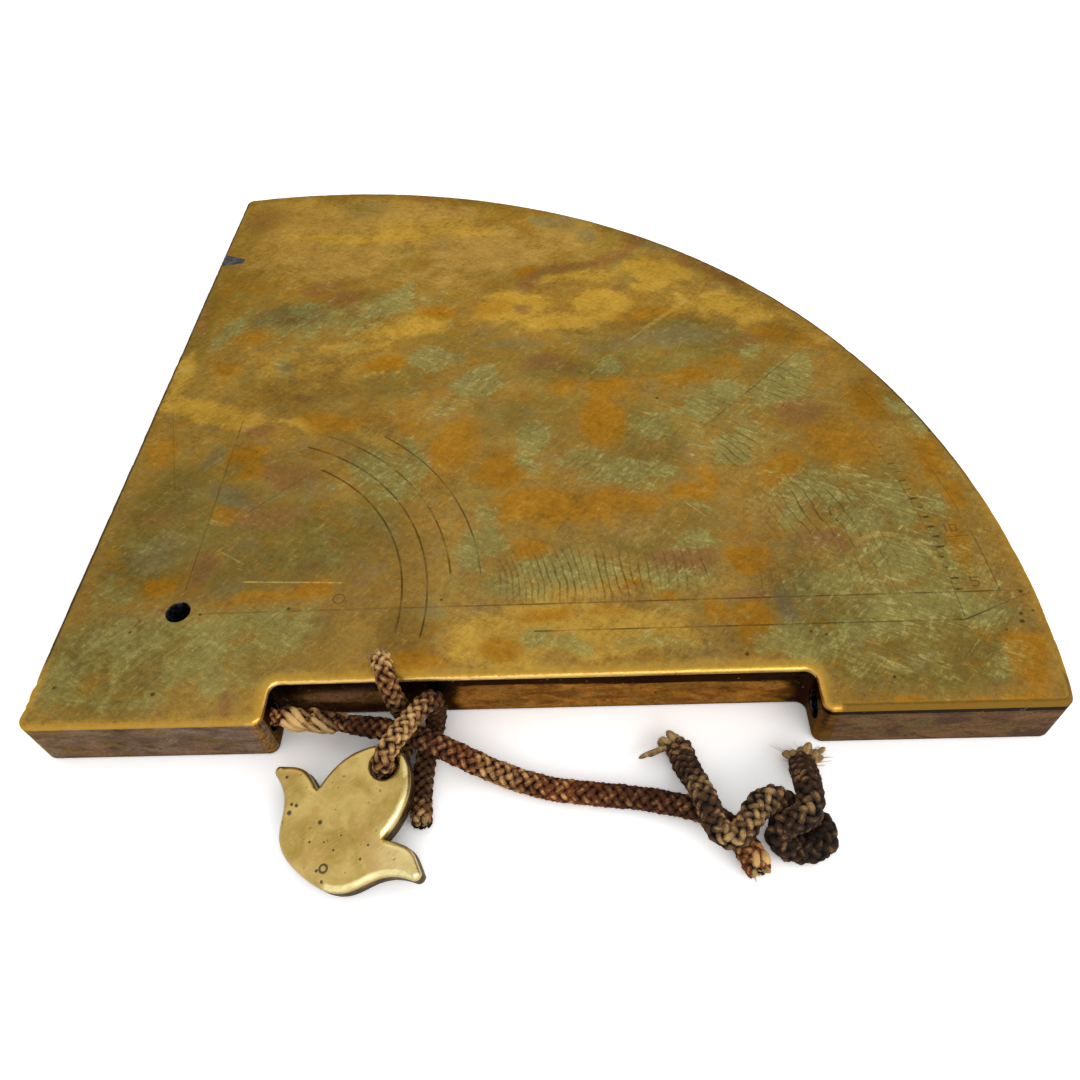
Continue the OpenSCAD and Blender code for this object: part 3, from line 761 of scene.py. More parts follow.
@dataclass(frozen=True)
class AgedBrass:
    """Finish of the plate: dull brass under a patchy patina, with its engraving and scratches."""

    name: str = "aged_brass"
    face_z: float = 16.3
    wall_z: float = 14.95
    pits: tuple[tuple[float, float, float], ...] = (
        (0.6, -24.5, 0.7), (-11, -6, 0.5), (6.2, -1, 0.5), (29.5, 0, 0.6), (213.7, -7.9, 0.6),
        (216.9, -7.1, 0.5), (213.2, -10.2, 0.7), (208.6, -12.5, 0.4), (165.5, -12.5, 0.5), (162, -11.4, 0.4),
        (145.5, -17.5, 0.7), (216, -1.2, 0.6), (178.6, -24.8, 0.5), (-25, -22, 0.5), (216.6, -32, 1.1),
        (132, 78, 0.6), (211, 58.5, 0.9), (69.5, 1.5, 0.4),
    )
    numeral_rows: tuple[tuple[tuple[float, float], ...], ...] = (
        ((206.9, 3.7), (205.0, 3.6), (204.9, 2.5), (206.3, 2.5), (206.8, 1.7), (206.3, 0.9), (204.8, 0.9)),
        ((203.9, 19.0), (203.9, 21.6)),
        ((205.2, 19.2), (206.7, 19.2), (206.7, 21.5), (205.2, 21.5), (205.2, 19.2)),
    )

    def engraving(self, skin: Skin) -> Signal:
        """Cover of all the engraved lines, each at the strength that is left of it."""
        b, face = skin.bench, skin.face
        s = Scribe(b, face)
        worn = b.ramped(b.noise(face, 0.09, 2), 0.35, 0.62, 0.3, 1)
        patchy = b.ramped(b.noise(face, 0.3, 3, 0.6), 0.36, 0.6, 0.1, 1)
        faint = b.ramped(b.noise(face, 0.2, 3, 0.6), 0.36, 0.6, 0.4, 1)
        zero = -math.degrees(math.asin(0.8 / 200))
        base = s.all_of(
            s.line(68, -0.8, 216, -0.8, 0.42), s.line(94, -9.2, 200, -9.2, 0.42),
            s.line(200, -9.2, 218, -1.6, 0.45))
        calendar = s.all_of(
            s.arc(59, -8, 60, 0.5), s.arc(65.7, -9, 69, 0.5), s.arc(72, 8, 66, 0.5), s.arc(80, 7, 54, 0.42))
        numerals = s.all_of(
            *(s.line(*p, *q, 0.36) for row in self.numeral_rows for p, q in zip(row[:-1], row[1:])))
        return s.all_of(
            b.product(base, worn, 0.85),
            b.product(s.line(5, -0.8, 68, -0.8, 0.5), worn, 0.4),
            b.product(calendar, worn, 0.9),
            b.product(s.strokes(200, 2.3, zero, 9.2, 0.65), patchy, 1),
            b.product(s.strokes(200, 2.1, 9.2, 16, 0.5), patchy, 0.7),
            b.product(s.arc(200, -0.2, 17, 0.26), worn, 0.45),
            s.line(200, 0, 200, -9.2, 0.24) * 0.6,
            s.arc(211, -0.3, 5, 0.3) * 0.6,
            s.line(201, 17.1, 209, 17.6, 0.3) * 0.45,
            b.product(s.arc(211, 7, 23, 0.3), worn, 0.4),
            b.product(s.line(0, 5, 0, 75, 0.4), worn, 0.55),
            b.product(s.line(124, 42.6, 150, 68.8, 0.4), worn, 0.3),
            b.product(s.line(150, 68.8, 177.6, 96.6, 0.45), worn, 0.7),
            b.product(s.line(177.6, 96.6, 186, 104.6, 0.26), worn, 0.5),
            s.line(-24.5, 80, -13.8, 45, 0.3) * 0.3,
            s.line(11.2, 35.1, 27.3, 50.7, 0.3) * 0.35,
            s.round_mark(42.3, 2.8, 1.5, 0.35) * 0.6,
            b.product(s.fan(0.982, 0.45), skin.hatching, faint, 0.7),
            numerals * 0.6,
        )

    def scratches(self, skin: Skin) -> Signal:
        """Cover of the few long pale scratches and of the faint ring left by a cup."""
        b, face = skin.bench, skin.face
        s = Scribe(b, face)
        fading = b.ramped(b.vector("DISTANCE", face, (192, 16, 0.0)), 8, 15, 0.4, 0)
        marks = s.all_of(
            s.line(15, 9.4, 42, 8.1, 0.45) * 0.8,
            s.line(131, 114.5, 146.5, 130, 1.8) * 0.4,
            s.round_mark(187, 7.5, 11.5, 1.6) * fading,
            s.line(125, 108, 131, 114.5, 0.7) * 0.4,
            s.line(136, 33, 141, 27.6, 0.5) * 0.5,
            s.line(6, 20.5, 14, 15.5, 0.35) * 0.5,
        )
        return marks * b.ramped(b.noise(face, 0.8, 3, 0.6), 0.35, 0.6, 0.25, 1)

    def patina(self, skin: Skin) -> tuple[Signal, Signal]:
        """Colour of the face before its marks, and the cover of verdigris."""
        b, grit, fine, streak, orange = skin.bench, skin.grit, skin.fine, skin.streak, skin.orange
        base = b.between(skin.cover(skin.olive), Tone.BROWN, Tone.OLIVE)
        for tone, shift, size, low, high, share in (
            (Tone.ORANGE, 31.0, 0.045, 0.48, 0.76, 0.4), (Tone.VERDIGRIS, 67.0, 0.045, 0.48, 0.76, 0.4),
            (Tone.PLUM, 103.0, 0.045, 0.48, 0.76, 0.35), (Tone.ORANGE, 131.0, 0.13, 0.52, 0.68, 0.4),
            (Tone.SLATE, 167.0, 0.15, 0.52, 0.68, 0.4), (Tone.PLUM, 203.0, 0.17, 0.54, 0.7, 0.4)):
            drift = b.noise(b.turned(b.mm, 20, (1, 1.2, 1), (shift, -shift, 5)), size, 6, 0.6, 0.6)
            base = b.laid(base, b.ramped(b.stirred(drift, (streak, 0.25)), low, high, 0, share), tone)
        for mask, share, tone in (
            (b.attribute("straw"), 0.8, Tone.STRAW), (skin.gold, 0.9, Tone.GOLD), (orange, 0.85, Tone.ORANGE),
            (skin.plum, 0.75, Tone.PLUM), (skin.slate, 0.7, Tone.SLATE)):
            base = b.laid(base, skin.cover(mask, share), tone)
        right = b.math("MAXIMUM", b.ramped(skin.x, 40, 120, 0.45, 1), b.ramped(skin.y, 15, 40, 0.45, 1))
        rows = (skin.cloud, 1.7), (grit, 0.7), (streak, right * 1.5)
        green = b.ramped(b.stirred(skin.verdigris * 1.15, *rows), 0.08, 0.86)
        base = b.laid(base, green * 0.64, Tone.VERDIGRIS)
        fleck = b.ramped(b.stirred(streak, (grit, 0.5), (fine, 0.3)), 0.5, 0.74) * b.ramped(green, 0.1, 0.9)
        base = b.laid(base, fleck * (right * 0.58), Tone.FLECK)
        rows = (
            (grit, 1.1), (fine, 0.6), (skin.rub, 0.55), (skin.rub_b, 0.55), (skin.cloud, 0.75),
            (skin.broad, 0.5))
        # Painted shade: the face darkened by the shade attribute
        base = b.vector("SCALE", base, scale=b.stirred(0.98, *rows) * (1.0 - skin.shade * 0.5))
        return b.laid(base, b.ramped(fine, 0.6, 0.78) * 0.35, Tone.GRAIN), green

    def marks(self, skin: Skin, base: Signal) -> tuple[Signal, Signal, Signal]:
        """Colour with its scores, engraving, pits and scratches, and the cover of lines and pits."""
        b = skin.bench
        bare = 1.0 - skin.orange * 0.6
        for angle, low, share in ((52, 0.66, 0.3), (-24, 0.68, 0.22)):
            score = b.noise(b.turned(b.mm, angle, (0.3, 2.0, 1), (angle, 9, 3)), 1, 2, 0.5, 0.2)
            base = b.laid(base, b.ramped(score, low, low + 0.07, 0, share) * bare, Tone.SCORE)
            base = b.laid(base, b.ramped(score, 0.33, 0.27, 0, share * 0.7), Tone.SCORE_DIRT)
        lines = self.engraving(skin) * b.ramped(skin.z, self.face_z, self.face_z + 0.15)
        dots = Scribe(b, skin.face).dots(self.pits)
        base = b.laid(base, lines * 0.8, Tone.LINE_DIRT)
        base = b.laid(base, dots * 0.75, Tone.PIT_DIRT)
        return b.laid(base, self.scratches(skin) * 0.7, Tone.SCRATCH), lines, dots

    def worn_and_lit_edges(self, skin: Skin, base: Signal) -> tuple[Signal, Signal, Signal]:
        """Colour with edges worn bright, painted shade and a painted highlight; the cover of the shade, and
        of the bright ones.
        """
        b, grit = skin.bench, skin.grit
        edge, wear = b.attribute("edge"), b.attribute("wear")
        # Painted shade: the rounded edge darkened where it is little worn, along the limb and the left side
        dull = b.ramped(b.stirred(edge, (grit, -0.8)), 1.65, 1.0) * b.ramped(wear, 0.5, 0.35)
        base = b.laid(base, dull * 0.9, Tone.EDGE_SHADE)
        inner = b.ramped(skin.y, -31, -27, 0.3, 1)
        reach = b.math("MULTIPLY_ADD", inner, 2.4, 2.0)
        glow = b.ramped(b.stirred(edge, (grit, -2.4), (skin.cloud, -3.0)), reach, 0.8) * wear
        base = b.laid(base, glow * 0.5, Tone.GLOW)
        rim = b.ramped(b.stirred(edge, (grit, -1.4)), 1.3, 0.7) * wear
        base = b.laid(base, rim * 0.7, Tone.RIM)
        # Worn brass with a painted highlight: a pale line low on the front arris, where the front lamp's
        # reflection falls
        there = b.ramped(wear, 0.45, 0.9) * (inner * b.ramped(skin.x, 85, 125, 1, 0.5))
        lip = b.ramped(b.stirred(edge, (grit, -0.7)), 0.6, 0.3) * there
        return b.laid(base, lip * 0.85, Tone.LIP_HIGHLIGHT), dull, b.math("MAXIMUM", rim, lip)

    def dress(self) -> bpy.types.Material:
        """Build the finish.

        Returns:
            The material. It reads the attributes tones, relief, edge, wear, soot, warm, gild,
            copper, straw and hollow.
        """
        b = Bench(self.name)
        skin = Skin(b)
        base, green = self.patina(skin)
        base, lines, dots = self.marks(skin, base)
        base, dull, bright = self.worn_and_lit_edges(skin, base)
        base = b.mix(b.ramped(skin.z, self.wall_z, self.wall_z + 0.25, 1, 0), base, self.wall(skin))
        # Painted shade: the inside of the bores made near black, with grey specks
        bore_shade = b.between(b.ramped(skin.grit, 0.42, 0.62), WallTone.BORE_SHADE, WallTone.HOLLOW_DUST)
        base = b.mix(b.attribute("bore_shade"), base, bore_shade)
        rough = b.ramped(skin.grit, 0.3, 0.7, 0.4, 0.5) + green * 0.1 - bright * 0.14 + dull * 0.35
        metal = 0.92 - (green * 0.3 + dull * 0.6)
        b.shader.inputs["Specular IOR Level"].default_value = 0.25
        b.shader.inputs["Specular Tint"].default_value = (0.7, 0.5, 0.2, 1)
        swells = b.noise(b.mm, 0.06, 2)
        rows = (skin.grit, 0.07), (skin.fine, 0.03), (skin.rub, 0.05), (skin.rub_b, 0.05), (swells, 0.5)
        height = b.stirred(0.0, *rows) - lines * 0.15 - dots * 0.25
        return b.finish(base, rough, metal, b.bump(height, 0.001, 0.7))

    def wall(self, skin: Skin) -> Signal:
        """Colour of the walls: brown, rosy and grey smears that run along, painted shade black under the rim,
        in the recess and at the foot, and a painted reflection in the recess.
        """
        b = skin.bench
        smear = b.noise(b.turned(b.mm, 0, (0.09, 0.09, 0.24)), 1, 5, 0.62, 0.9)
        blot = b.noise(b.turned(b.mm, 0, (0.17, 0.17, 0.3)), 1, 5, 0.65, 0.6)
        rust = b.noise(b.turned(b.mm, 0, (0.12, 0.12, 0.2), (7, 3, 9)), 1, 4, 0.6, 0.6)
        grain = b.noise(b.mm, 1.3, 5, 0.7)
        warm, smeared = b.attribute("warm"), b.ramped(smear, 0.36, 0.64)
        cool = b.between(smeared, WallTone.COOL_DARK, WallTone.COOL)
        cool = b.laid(cool, b.ramped(rust, 0.5, 0.66, 0, 0.7), WallTone.COOL_RUST)
        cool = b.laid(cool, b.ramped(blot, 0.54, 0.68, 0, 0.6), WallTone.LEADEN)
        brown = b.between(smeared, WallTone.BROWN_DARK, WallTone.BROWN)
        brown = b.laid(brown, b.ramped(rust, 0.52, 0.66, 0, 0.7), WallTone.BROWN_RUST)
        amber = b.between(smeared, WallTone.AMBER_DARK, WallTone.AMBER)
        amber = b.laid(amber, b.ramped(rust, 0.5, 0.66, 0, 0.6), WallTone.AMBER_RUST)
        out = b.mix(b.ramped(warm, 0, 0.5), cool, b.mix(b.ramped(warm, 0.5, 1), brown, amber))
        out = b.laid(out, b.ramped(blot, 0.42, 0.28, 0, 0.7), WallTone.BLOT)
        # Painted shade: black in the recess and under the rim, with a dark spot at the right tip
        shade_and_spot = b.stirred(b.attribute("shade_and_spot"), (blot, 0.9))
        out = b.laid(out, b.ramped(shade_and_spot, 0.3, 0.72) * 0.97, WallTone.SHADE_BLACK)
        # Coppery stains, and a painted reflection: the rosy lens on the recess's back wall
        out = b.laid(out, b.attribute("copper_and_reflection") * b.ramped(blot, 0.4, 0.56), WallTone.COPPER_AND_REFLECTION)
        flake = b.ramped(shade_and_spot, 0.5, 0.8) * b.ramped(b.noise(b.mm, 0.8, 3, 0.6), 0.66, 0.72)
        out = b.laid(out, flake * 0.6, WallTone.FLAKE)
        gilt = b.between(b.ramped(grain, 0.35, 0.6), WallTone.GILT_DARK, WallTone.GILT)
        out = b.mix(b.attribute("gild"), out, gilt)
        # Painted shade: darker at the foot of each wall
        out = b.laid(out, b.ramped(skin.z, 1.6, 0.5) * 0.75, WallTone.FOOT_SHADE)
        return b.vector("SCALE", out, scale=b.ramped(grain, 0.3, 0.7, 0.72, 1.28))


@dataclass(frozen=True)
class LeadRepair:
    """Finish of the lead run into the flaw."""

    name: str = "old_lead"

    def dress(self) -> bpy.types.Material:
        """Build the finish: grey with pale scrapes and rust, dark in its dips, with a rough skin."""
        b = Bench(self.name)
        lump = b.noise(b.mm, 0.45, 3, 0.6, 0.5)
        scrapes = b.noise(b.turned(b.mm, 20, (0.3, 1.2, 1)), 1, 2)
        base = b.between(b.ramped(lump, 0.38, 0.68), LeadTone.DARK, LeadTone.GREY)
        base = b.laid(base, b.ramped(scrapes, 0.58, 0.68, 0, 0.5), LeadTone.PALE)
        base = b.laid(base, b.ramped(b.noise(b.mm, 1.4, 3), 0.55, 0.7, 0, 0.5), LeadTone.RUST)
        return b.finish(base, 0.5, 0.7, b.bump(lump + b.noise(b.mm, 2.0, 3) * 0.3, 0.0012))


@dataclass(frozen=True)
class PolishedBob:
    """Finish of the bob: pale brass worn smooth, with casting pits, a painted highlight on the edges that
    face the front lamp, and its sides darkened as painted shade.
    """

    name: str = "rubbed_brass"
    pits: tuple[tuple[float, float, float, float], ...] = (
        (35.4, -43.2, 8.9, 0.5), (37.6, -49.6, 8.2, 0.5), (38.8, -49.9, 8.2, 0.6), (37.3, -51.5, 7.9, 0.75),
        (45.0, -54.0, 8.3, 0.7), (43.1, -58.2, 7.6, 0.4), (45.6, -64.4, 7.0, 0.5), (47.0, -66.8, 6.8, 0.6),
        (48.9, -60.2, 7.9, 0.35), (55.3, -62.4, 8.2, 0.4), (56.8, -59.5, 8.7, 0.4), (63.0, -62.8, 8.9, 0.4),
        (46.5, -58.4, 8.0, 0.35), (50.3, -57.1, 8.4, 0.3), (52.5, -53.0, 8.9, 0.3),
    )
    ring: tuple[float, float, float, float] = (47.1, -64.0, 7.2, 0.85)
    # Centre of the painted highlight on the petal
    petal: tuple[float, float, float] = (67.0, -61.5, 8.5)

    def dress(self) -> bpy.types.Material:
        """Build the finish, reading the attribute rim, which marks the sides for painted shade, and the
        attribute of the pale edges, which marks the painted highlight.
        """
        b = Bench(self.name)
        cloud = b.noise(b.mm, 0.13, 3, 0.55, 0.5)
        grain = b.noise(b.turned(b.mm, 35, (0.5, 2.4, 1)), 1, 4, 0.65, 0.2)
        base = b.between(b.ramped(cloud, 0.32, 0.66), BobTone.DEEP, BobTone.PALE)
        base = b.laid(base, b.ramped(grain, 0.5, 0.72, 0, 0.5), BobTone.GRAIN)
        base = b.laid(base, b.ramped(b.noise(b.mm, 0.16, 4, 0.6, 0.6), 0.54, 0.7, 0, 0.6), BobTone.WARM)
        base = b.laid(base, b.ramped(b.noise(b.mm, 0.9, 4, 0.65), 0.55, 0.75, 0, 0.4), BobTone.DULL)
        pits = b.ramped(b.noise(b.mm, 0.9, 1, 0.3), 0.225, 0.26, 1, 0) * 0.5
        for *at, r in self.pits:
            far = b.vector("DISTANCE", b.mm, tuple(at))
            pits = b.math("MAXIMUM", pits, b.ramped(far, r * 0.45, r, 1, 0))
        *at, r = self.ring
        ring = b.ramped(b.apart(b.vector("DISTANCE", b.mm, tuple(at)), r), 0.12, 0.4, 1, 0)
        pits = b.math("MAXIMUM", pits, ring)
        base = b.laid(base, pits * 0.9, BobTone.PIT)
        # Painted highlight: the petal paler towards this centre
        petal = b.ramped(b.vector("DISTANCE", b.mm, self.petal), 3.5, 12.5, 0.5, 0)
        worn_and_lit_edges = b.math("MAXIMUM", b.attribute("worn_and_lit_edges"), petal) * b.ramped(grain, 0.3, 0.6, 0.55, 0.85)
        base = b.laid(base, worn_and_lit_edges, BobTone.HIGHLIGHT)
        # Painted shade: the sides and underside darkened
        dark = b.ramped(b.stirred(b.attribute("rim"), (grain, 0.3)), 0.3, 0.7)
        smear = b.noise(b.turned(b.mm, 0, (0.25, 0.25, 0.5)), 1, 4, 0.6, 0.5)
        side = b.between(b.ramped(smear, 0.4, 0.66), BobTone.SIDE_SHADE_DARK, BobTone.SIDE)
        base = b.mix(dark * 0.94, base, side)
        height = grain * 0.04 - pits * 0.3 + b.noise(b.mm, 0.12, 2) * 0.8
        rough = b.ramped(cloud, 0.3, 0.7, 0.26, 0.36) + dark * 0.3 + pits * 0.4
        return b.finish(base, rough, 0.95 - pits * 0.9, b.bump(height, 0.001, 0.6))


@dataclass(frozen=True)
class Yarn:
    """Finish of a cord's strands: fibres that run with the strand, paler outside as wear and painted
    highlight, darker in the gaps as painted shade.
    """

    name: str
    light: tuple[float, float, float]
    middle: tuple[float, float, float]
    dark: tuple[float, float, float]
    # Paler yarn colour, also used for the painted highlight of the pale spheres
    bare: tuple[float, float, float] = (222, 182, 118)

    def dress(self) -> bpy.types.Material:
        """Build the finish, reading the UV map strand and the attributes worn, pale and dark."""
        b = Bench(self.name)
        uv = Signal(b, b.node("UVMap", uv_map="strand").outputs[0])
        fibre = b.noise(b.turned(uv, 9, (1.1, 12, 1)), 1, 3, 0.6, 0.3)
        lump = b.noise(b.mm, 0.62, 4, 0.62)
        # Wear and painted light and shade: up is high on the strands' crowns, low in their gaps
        up = b.stirred(b.attribute("worn"), (fibre, 0.7), (lump, 1.2), (b.noise(b.mm, 0.16, 2), 0.7))
        base = b.mix(b.ramped(up, 0.34, 0.74), tint(*self.dark), tint(*self.middle))
        base = b.mix(b.ramped(up, 0.8, 1.22), base, tint(*self.light))
        # Paler yarn, and in part a painted highlight, where the pale spheres lie
        base = b.mix(b.attribute("pale") * b.ramped(up, 0.42, 1.2), base, tint(*self.bare))
        # Mostly painted shade, where the dark spheres lie
        base = b.vector("SCALE", base, scale=1.0 - b.attribute("dark") * 0.8)
        b.shader.inputs["Specular IOR Level"].default_value = 0.2
        return b.finish(base, 0.85, 0.0, b.bump(fibre + lump * 0.5, 0.00045))


# Pieces


@dataclass
class QuadrantPlate:
    """The cast plate: its outline, worn edges, bores, and the patina and painted shade painted on it."""

    thickness: float = 16.5
    limb: float = 220.0
    edge_x: float = -31.0
    edge_y: float = -33.0
    corner: float = 3.2
    recess: tuple[float, float, float] = (29.0, 161.0, -22.0)
    recess_round: float = 2.5
    arris: float = 1.5
    foot_round: float = 0.9
    apex_r: float = 3.0
    sight_r: float = 3.25
    sight: tuple[float, float, float] = (0, -27, 8.25)
    margin: float = 3.6
    plug: tuple[tuple[float, float], ...] = (
        (-33, 166.25), (-31, 166.25), (-21.5, 167.8), (-21.5, 170.8), (-31, 174.75), (-33, 174.75))
    chips: tuple[tuple[float, float, float, float], ...] = (
        (-31, -20.5, 0.55, 1.0), (-31, -25, 0.4, 0.8), (-31, -27.5, 0.45, 0.7), (217.3, -32, 0.6, 1.2),
        (217.5, 60, 0.3, 0.8))
    layout: PatinaLayout = field(default_factory=PatinaLayout)

    def outline(self) -> np.ndarray:
        """Closed outline, counter-clockwise: arcs (centre plus radius at an angle) and lines."""
        c, r, (x0, x1, back) = self.corner, self.recess_round, self.recess
        reach = self.limb - c
        tip = np.array([math.sqrt(reach**2 - (self.edge_y + c) ** 2), self.edge_y + c])
        top = np.array([self.edge_x + c, math.sqrt(reach**2 - (self.edge_x + c) ** 2)])
        tip_a = math.degrees(math.atan2(tip[1], tip[0]))
        top_a = math.degrees(math.atan2(top[1], top[0]))
        y = self.edge_y

        def arc(cx: float, cy: float, radius: float, a0: float, a1: float, step: float) -> np.ndarray:
            """Points of an arc."""
            n = max(int(abs(math.radians(a1 - a0)) * radius / step), 6)
            a = np.radians(np.linspace(a0, a1, n + 1))
            return np.stack([cx + radius * np.cos(a), cy + radius * np.sin(a)], axis=1)

        parts = [
            arc(self.edge_x + c, y + c, c, 180, 270, 0.4),
            arc(x0 - r, y + r, r, 270, 360, 0.35),
            arc(x0 + r, back - r, r, 180, 90, 0.35),
            arc(x1 - r, back - r, r, 90, 0, 0.35),
            arc(x1 + r, y + r, r, 180, 270, 0.35),
            arc(*tip, c, -90, tip_a, 0.4),
            arc(0, 0, self.limb, tip_a, top_a, 1.0)[1:-1],
            arc(*top, c, top_a, 180, 0.4),
        ]
        out = []
        for part, after in zip(parts, parts[1:] + parts[:1]):
            out.append(part)
            gap = np.linalg.norm(after[0] - part[-1])
            if gap > 1.5:
                n = int(gap / 0.8)
                t = np.linspace(0, 1, n + 1)[1:-1, None]
                out.append(part[-1] * (1 - t) + after[0] * t)
        return np.vstack(out)

    def nicks(self, p: np.ndarray) -> np.ndarray:
        """Depth of the knocks along the edge: layered noise plus a seeded row of small dents."""
        step = np.linalg.norm(np.roll(p, -1, axis=0) - p, axis=1)
        s = np.concatenate([[0], np.cumsum(step)[:-1]])
        place = np.stack([s, s * 0, s * 0], axis=1)
        rng = np.random.default_rng(11)
        count = 90
        at = rng.uniform(0, s[-1], count)
        deep, wide = rng.uniform(0.03, 0.3, count) ** 1.3, rng.uniform(0.35, 1.6, count)
        knocks = (deep * np.exp(-(((s[:, None] - at) / wide) ** 2))).sum(axis=1)
        for x, y, d, w in self.chips:
            knocks = knocks + d * hill(np.hypot(p[:, 0] - x, p[:, 1] - y), 0, w)
        return knocks + 0.16 * layered_noise(place, 7, 5) + 0.06 * layered_noise(place, 1.6, 9)

    def shell(self) -> tuple[np.ndarray, list]:
        """Profile carried round the outline, closed by a foot face and a meshed upper face."""
        p = self.outline()
        n_in, deep = inward(p), self.nicks(p)
        t, a, f = self.thickness, self.arris, self.foot_round
        q = np.linspace(0, np.pi / 2, 10)
        rows = [(f * (1 - math.sin(v)), f * (1 - math.cos(v)), 0.0) for v in q[::3]]
        rows += [(0.0, z, 0.0) for z in np.linspace(f, t - a, 15)[1:-1]]
        for v in q:
            share = math.sin(v) ** 0.7 * math.cos(v * 0.9)
            rows.append((a * (1 - math.cos(v)), t - a + a * math.sin(v), share))
        rows.append((a + 0.7, t, 0.0))
        verts = []
        for inset, z, share in rows:
            drop = np.maximum(deep, -0.15) * share
            xy = p + n_in * (inset + drop)[:, None]
            verts.append(np.column_stack([xy, np.full(len(p), z) - np.maximum(drop, 0) * 0.5]))
        verts = np.vstack(verts)
        count = len(p)
        faces = grid_faces(len(rows), count).tolist()
        faces.append(list(range(count))[::-1])
        rim = verts[-count:, :2]
        patch, tris = self.face_mesh(rim)
        first = len(verts)
        verts = np.vstack([verts, np.column_stack([patch, np.full(len(patch), t)])])
        faces += (np.array(tris) + first).tolist()
        return verts, faces

    def face_mesh(self, rim: np.ndarray, step: float = 1.6) -> tuple[np.ndarray, list]:
        """Triangles over the upper face: the rim plus a hexagonal grid of inner points.

        Args:
            rim: the face's outline.
            step: grid spacing in millimetres.

        Returns:
            Plan points and triangles.
        """
        gx, gy = np.meshgrid(np.arange(-31, 221, step), np.arange(-33, 221, step * 0.866))
        gx = gx + (np.arange(gx.shape[0]) % 2)[:, None] * step / 2
        grid = np.column_stack([gx.ravel(), gy.ravel()])
        x, y, m = grid[:, 0], grid[:, 1], self.margin
        x0, x1, back = self.recess
        inside = (np.hypot(x, y) < self.limb - 4) & (x > self.edge_x + m) & (y > self.edge_y + m)
        inside &= ~((x > x0 - m) & (x < x1 + m) & (y < back + m))
        points = np.vstack([rim, grid[inside]])
        count = len(rim)
        made = delaunay_2d_cdt([Vector(v) for v in points], [], [list(range(count))], 1, 1e-5)
        return np.array([tuple(v) for v in made[0]]), [list(f) for f in made[2]]

    def build(self) -> bpy.types.Object:
        """Make the plate, cut its bores and the plug's pocket, and paint its attributes."""
        verts, faces = self.shell()
        piece = make_piece("plate_casting", verts, faces)
        bm = bmesh.new()
        bm.from_mesh(piece.data)
        bmesh.ops.remove_doubles(bm, verts=bm.verts, dist=2e-6)
        bmesh.ops.recalc_face_normals(bm, faces=bm.faces)
        bm.to_mesh(piece.data)
        bm.free()
        apex = turned(flared(self.apex_r, 0.45, 0, self.thickness, 1), (0, 0, 0), "Z")
        x0, x1, _ = self.recess
        left = turned(flared(self.sight_r, 0.4, self.edge_x, x0, 1), self.sight, "X", 64)
        right = turned(flared(self.sight_r, 0.4, x1, 218.2, 2), self.sight, "X", 64)
        plan = np.array(self.plug)
        k = len(plan)
        prism = np.vstack([np.column_stack([plan, np.full(k, z)]) for z in (12.5, 18.0)])
        sides = [[i, (i + 1) % k, (i + 1) % k + k, i + k] for i in range(k)]
        pocket = (prism, sides + [list(range(k))[::-1], list(range(k, 2 * k))])
        cut_away(piece, [apex, left, right, pocket])
        piece.data.shade_smooth()
        piece.data.set_sharp_from_angle(angle=math.radians(38))
        self.paint(piece)
        return piece

    def paint(self, piece: bpy.types.Object) -> None:
        """Write every attribute that the finish reads, worked out from each vertex's place."""
        at = places_of(piece)
        cover = self.layout.paint(at)
        rim = self.outline()
        edge = np.full(len(at), 99.0)
        for start in range(0, len(at), 4000):
            d = np.linalg.norm(at[start : start + 4000, None, :2] - rim[None], axis=2)
            edge[start : start + 4000] = d.min(axis=1)
        x, y, z = at.T
        radius = np.hypot(x, y)
        cover["hatching"] *= (x > 84) & (radius < 199) & (y > -0.5)
        # Painted shade: marks the inside of the bores
        bore_shade = (radius < self.apex_r + 0.35) & (z < self.thickness - 0.06) & (z > 0.05)
        bore = (np.hypot(y - self.sight[1], z - self.sight[2]) < self.sight_r + 0.25) & (edge > 0.12)
        tones = np.column_stack([cover[n] for n in ("verdigris", "orange", "gold", "plum")])
        # Painted shade: the broad darkening and its spots
        shade = np.clip(self.shade(at) + 0.85 * cover["soil"], 0, 1)
        relief = np.column_stack([cover["slate"], shade, cover["olive"], cover["hatching"]])
        for name, values in (("tones", tones), ("relief", relief)):
            write_attribute(piece, name, np.clip(values, 0, 1.3), "color")
        single = {"wear": self.wear(at), "edge": edge, "straw": cover["straw"], "bore_shade": bore_shade | bore}
        for name, value in (single | self.wall_marks(at)).items():
            write_attribute(piece, name, value)
        piece.data.update()

    def wear(self, at: np.ndarray) -> np.ndarray:
        """Rubbing of the rim: along the recess and the left block, less on the right, little elsewhere."""
        x, y, _ = at.T
        radius = np.hypot(x, y)
        x0, x1, _ = self.recess
        wear = slope(-y, 12, 8) * (1 - 0.7 * slope(x, x1 + 1.5, 3))
        wear *= 1 - 0.4 * slope(-y, 28, 3) * (x < x0 - 4)
        return np.maximum(wear, 0.5 * slope(radius, 212, 4) * slope(-y, -60, 30) * slope(y, -29, 5))

    def shade(self, at: np.ndarray) -> np.ndarray:
        """Painted shade on the face: darker at the left, below the middle, along the limb, and drifting."""
        x, y, _ = at.T
        shade = 0.2 * slope(-x, 10, 20) * slope(-y, -100, 60) + 0.22 * slope(-x, -60, 40) * slope(y, -5, 20)
        limb = slope(np.hypot(x, y), 212, 9) * np.maximum(slope(y, 60, 60), 0.3)
        return shade + (0.4 * limb + 0.08 * layered_noise(at, 30, 61))

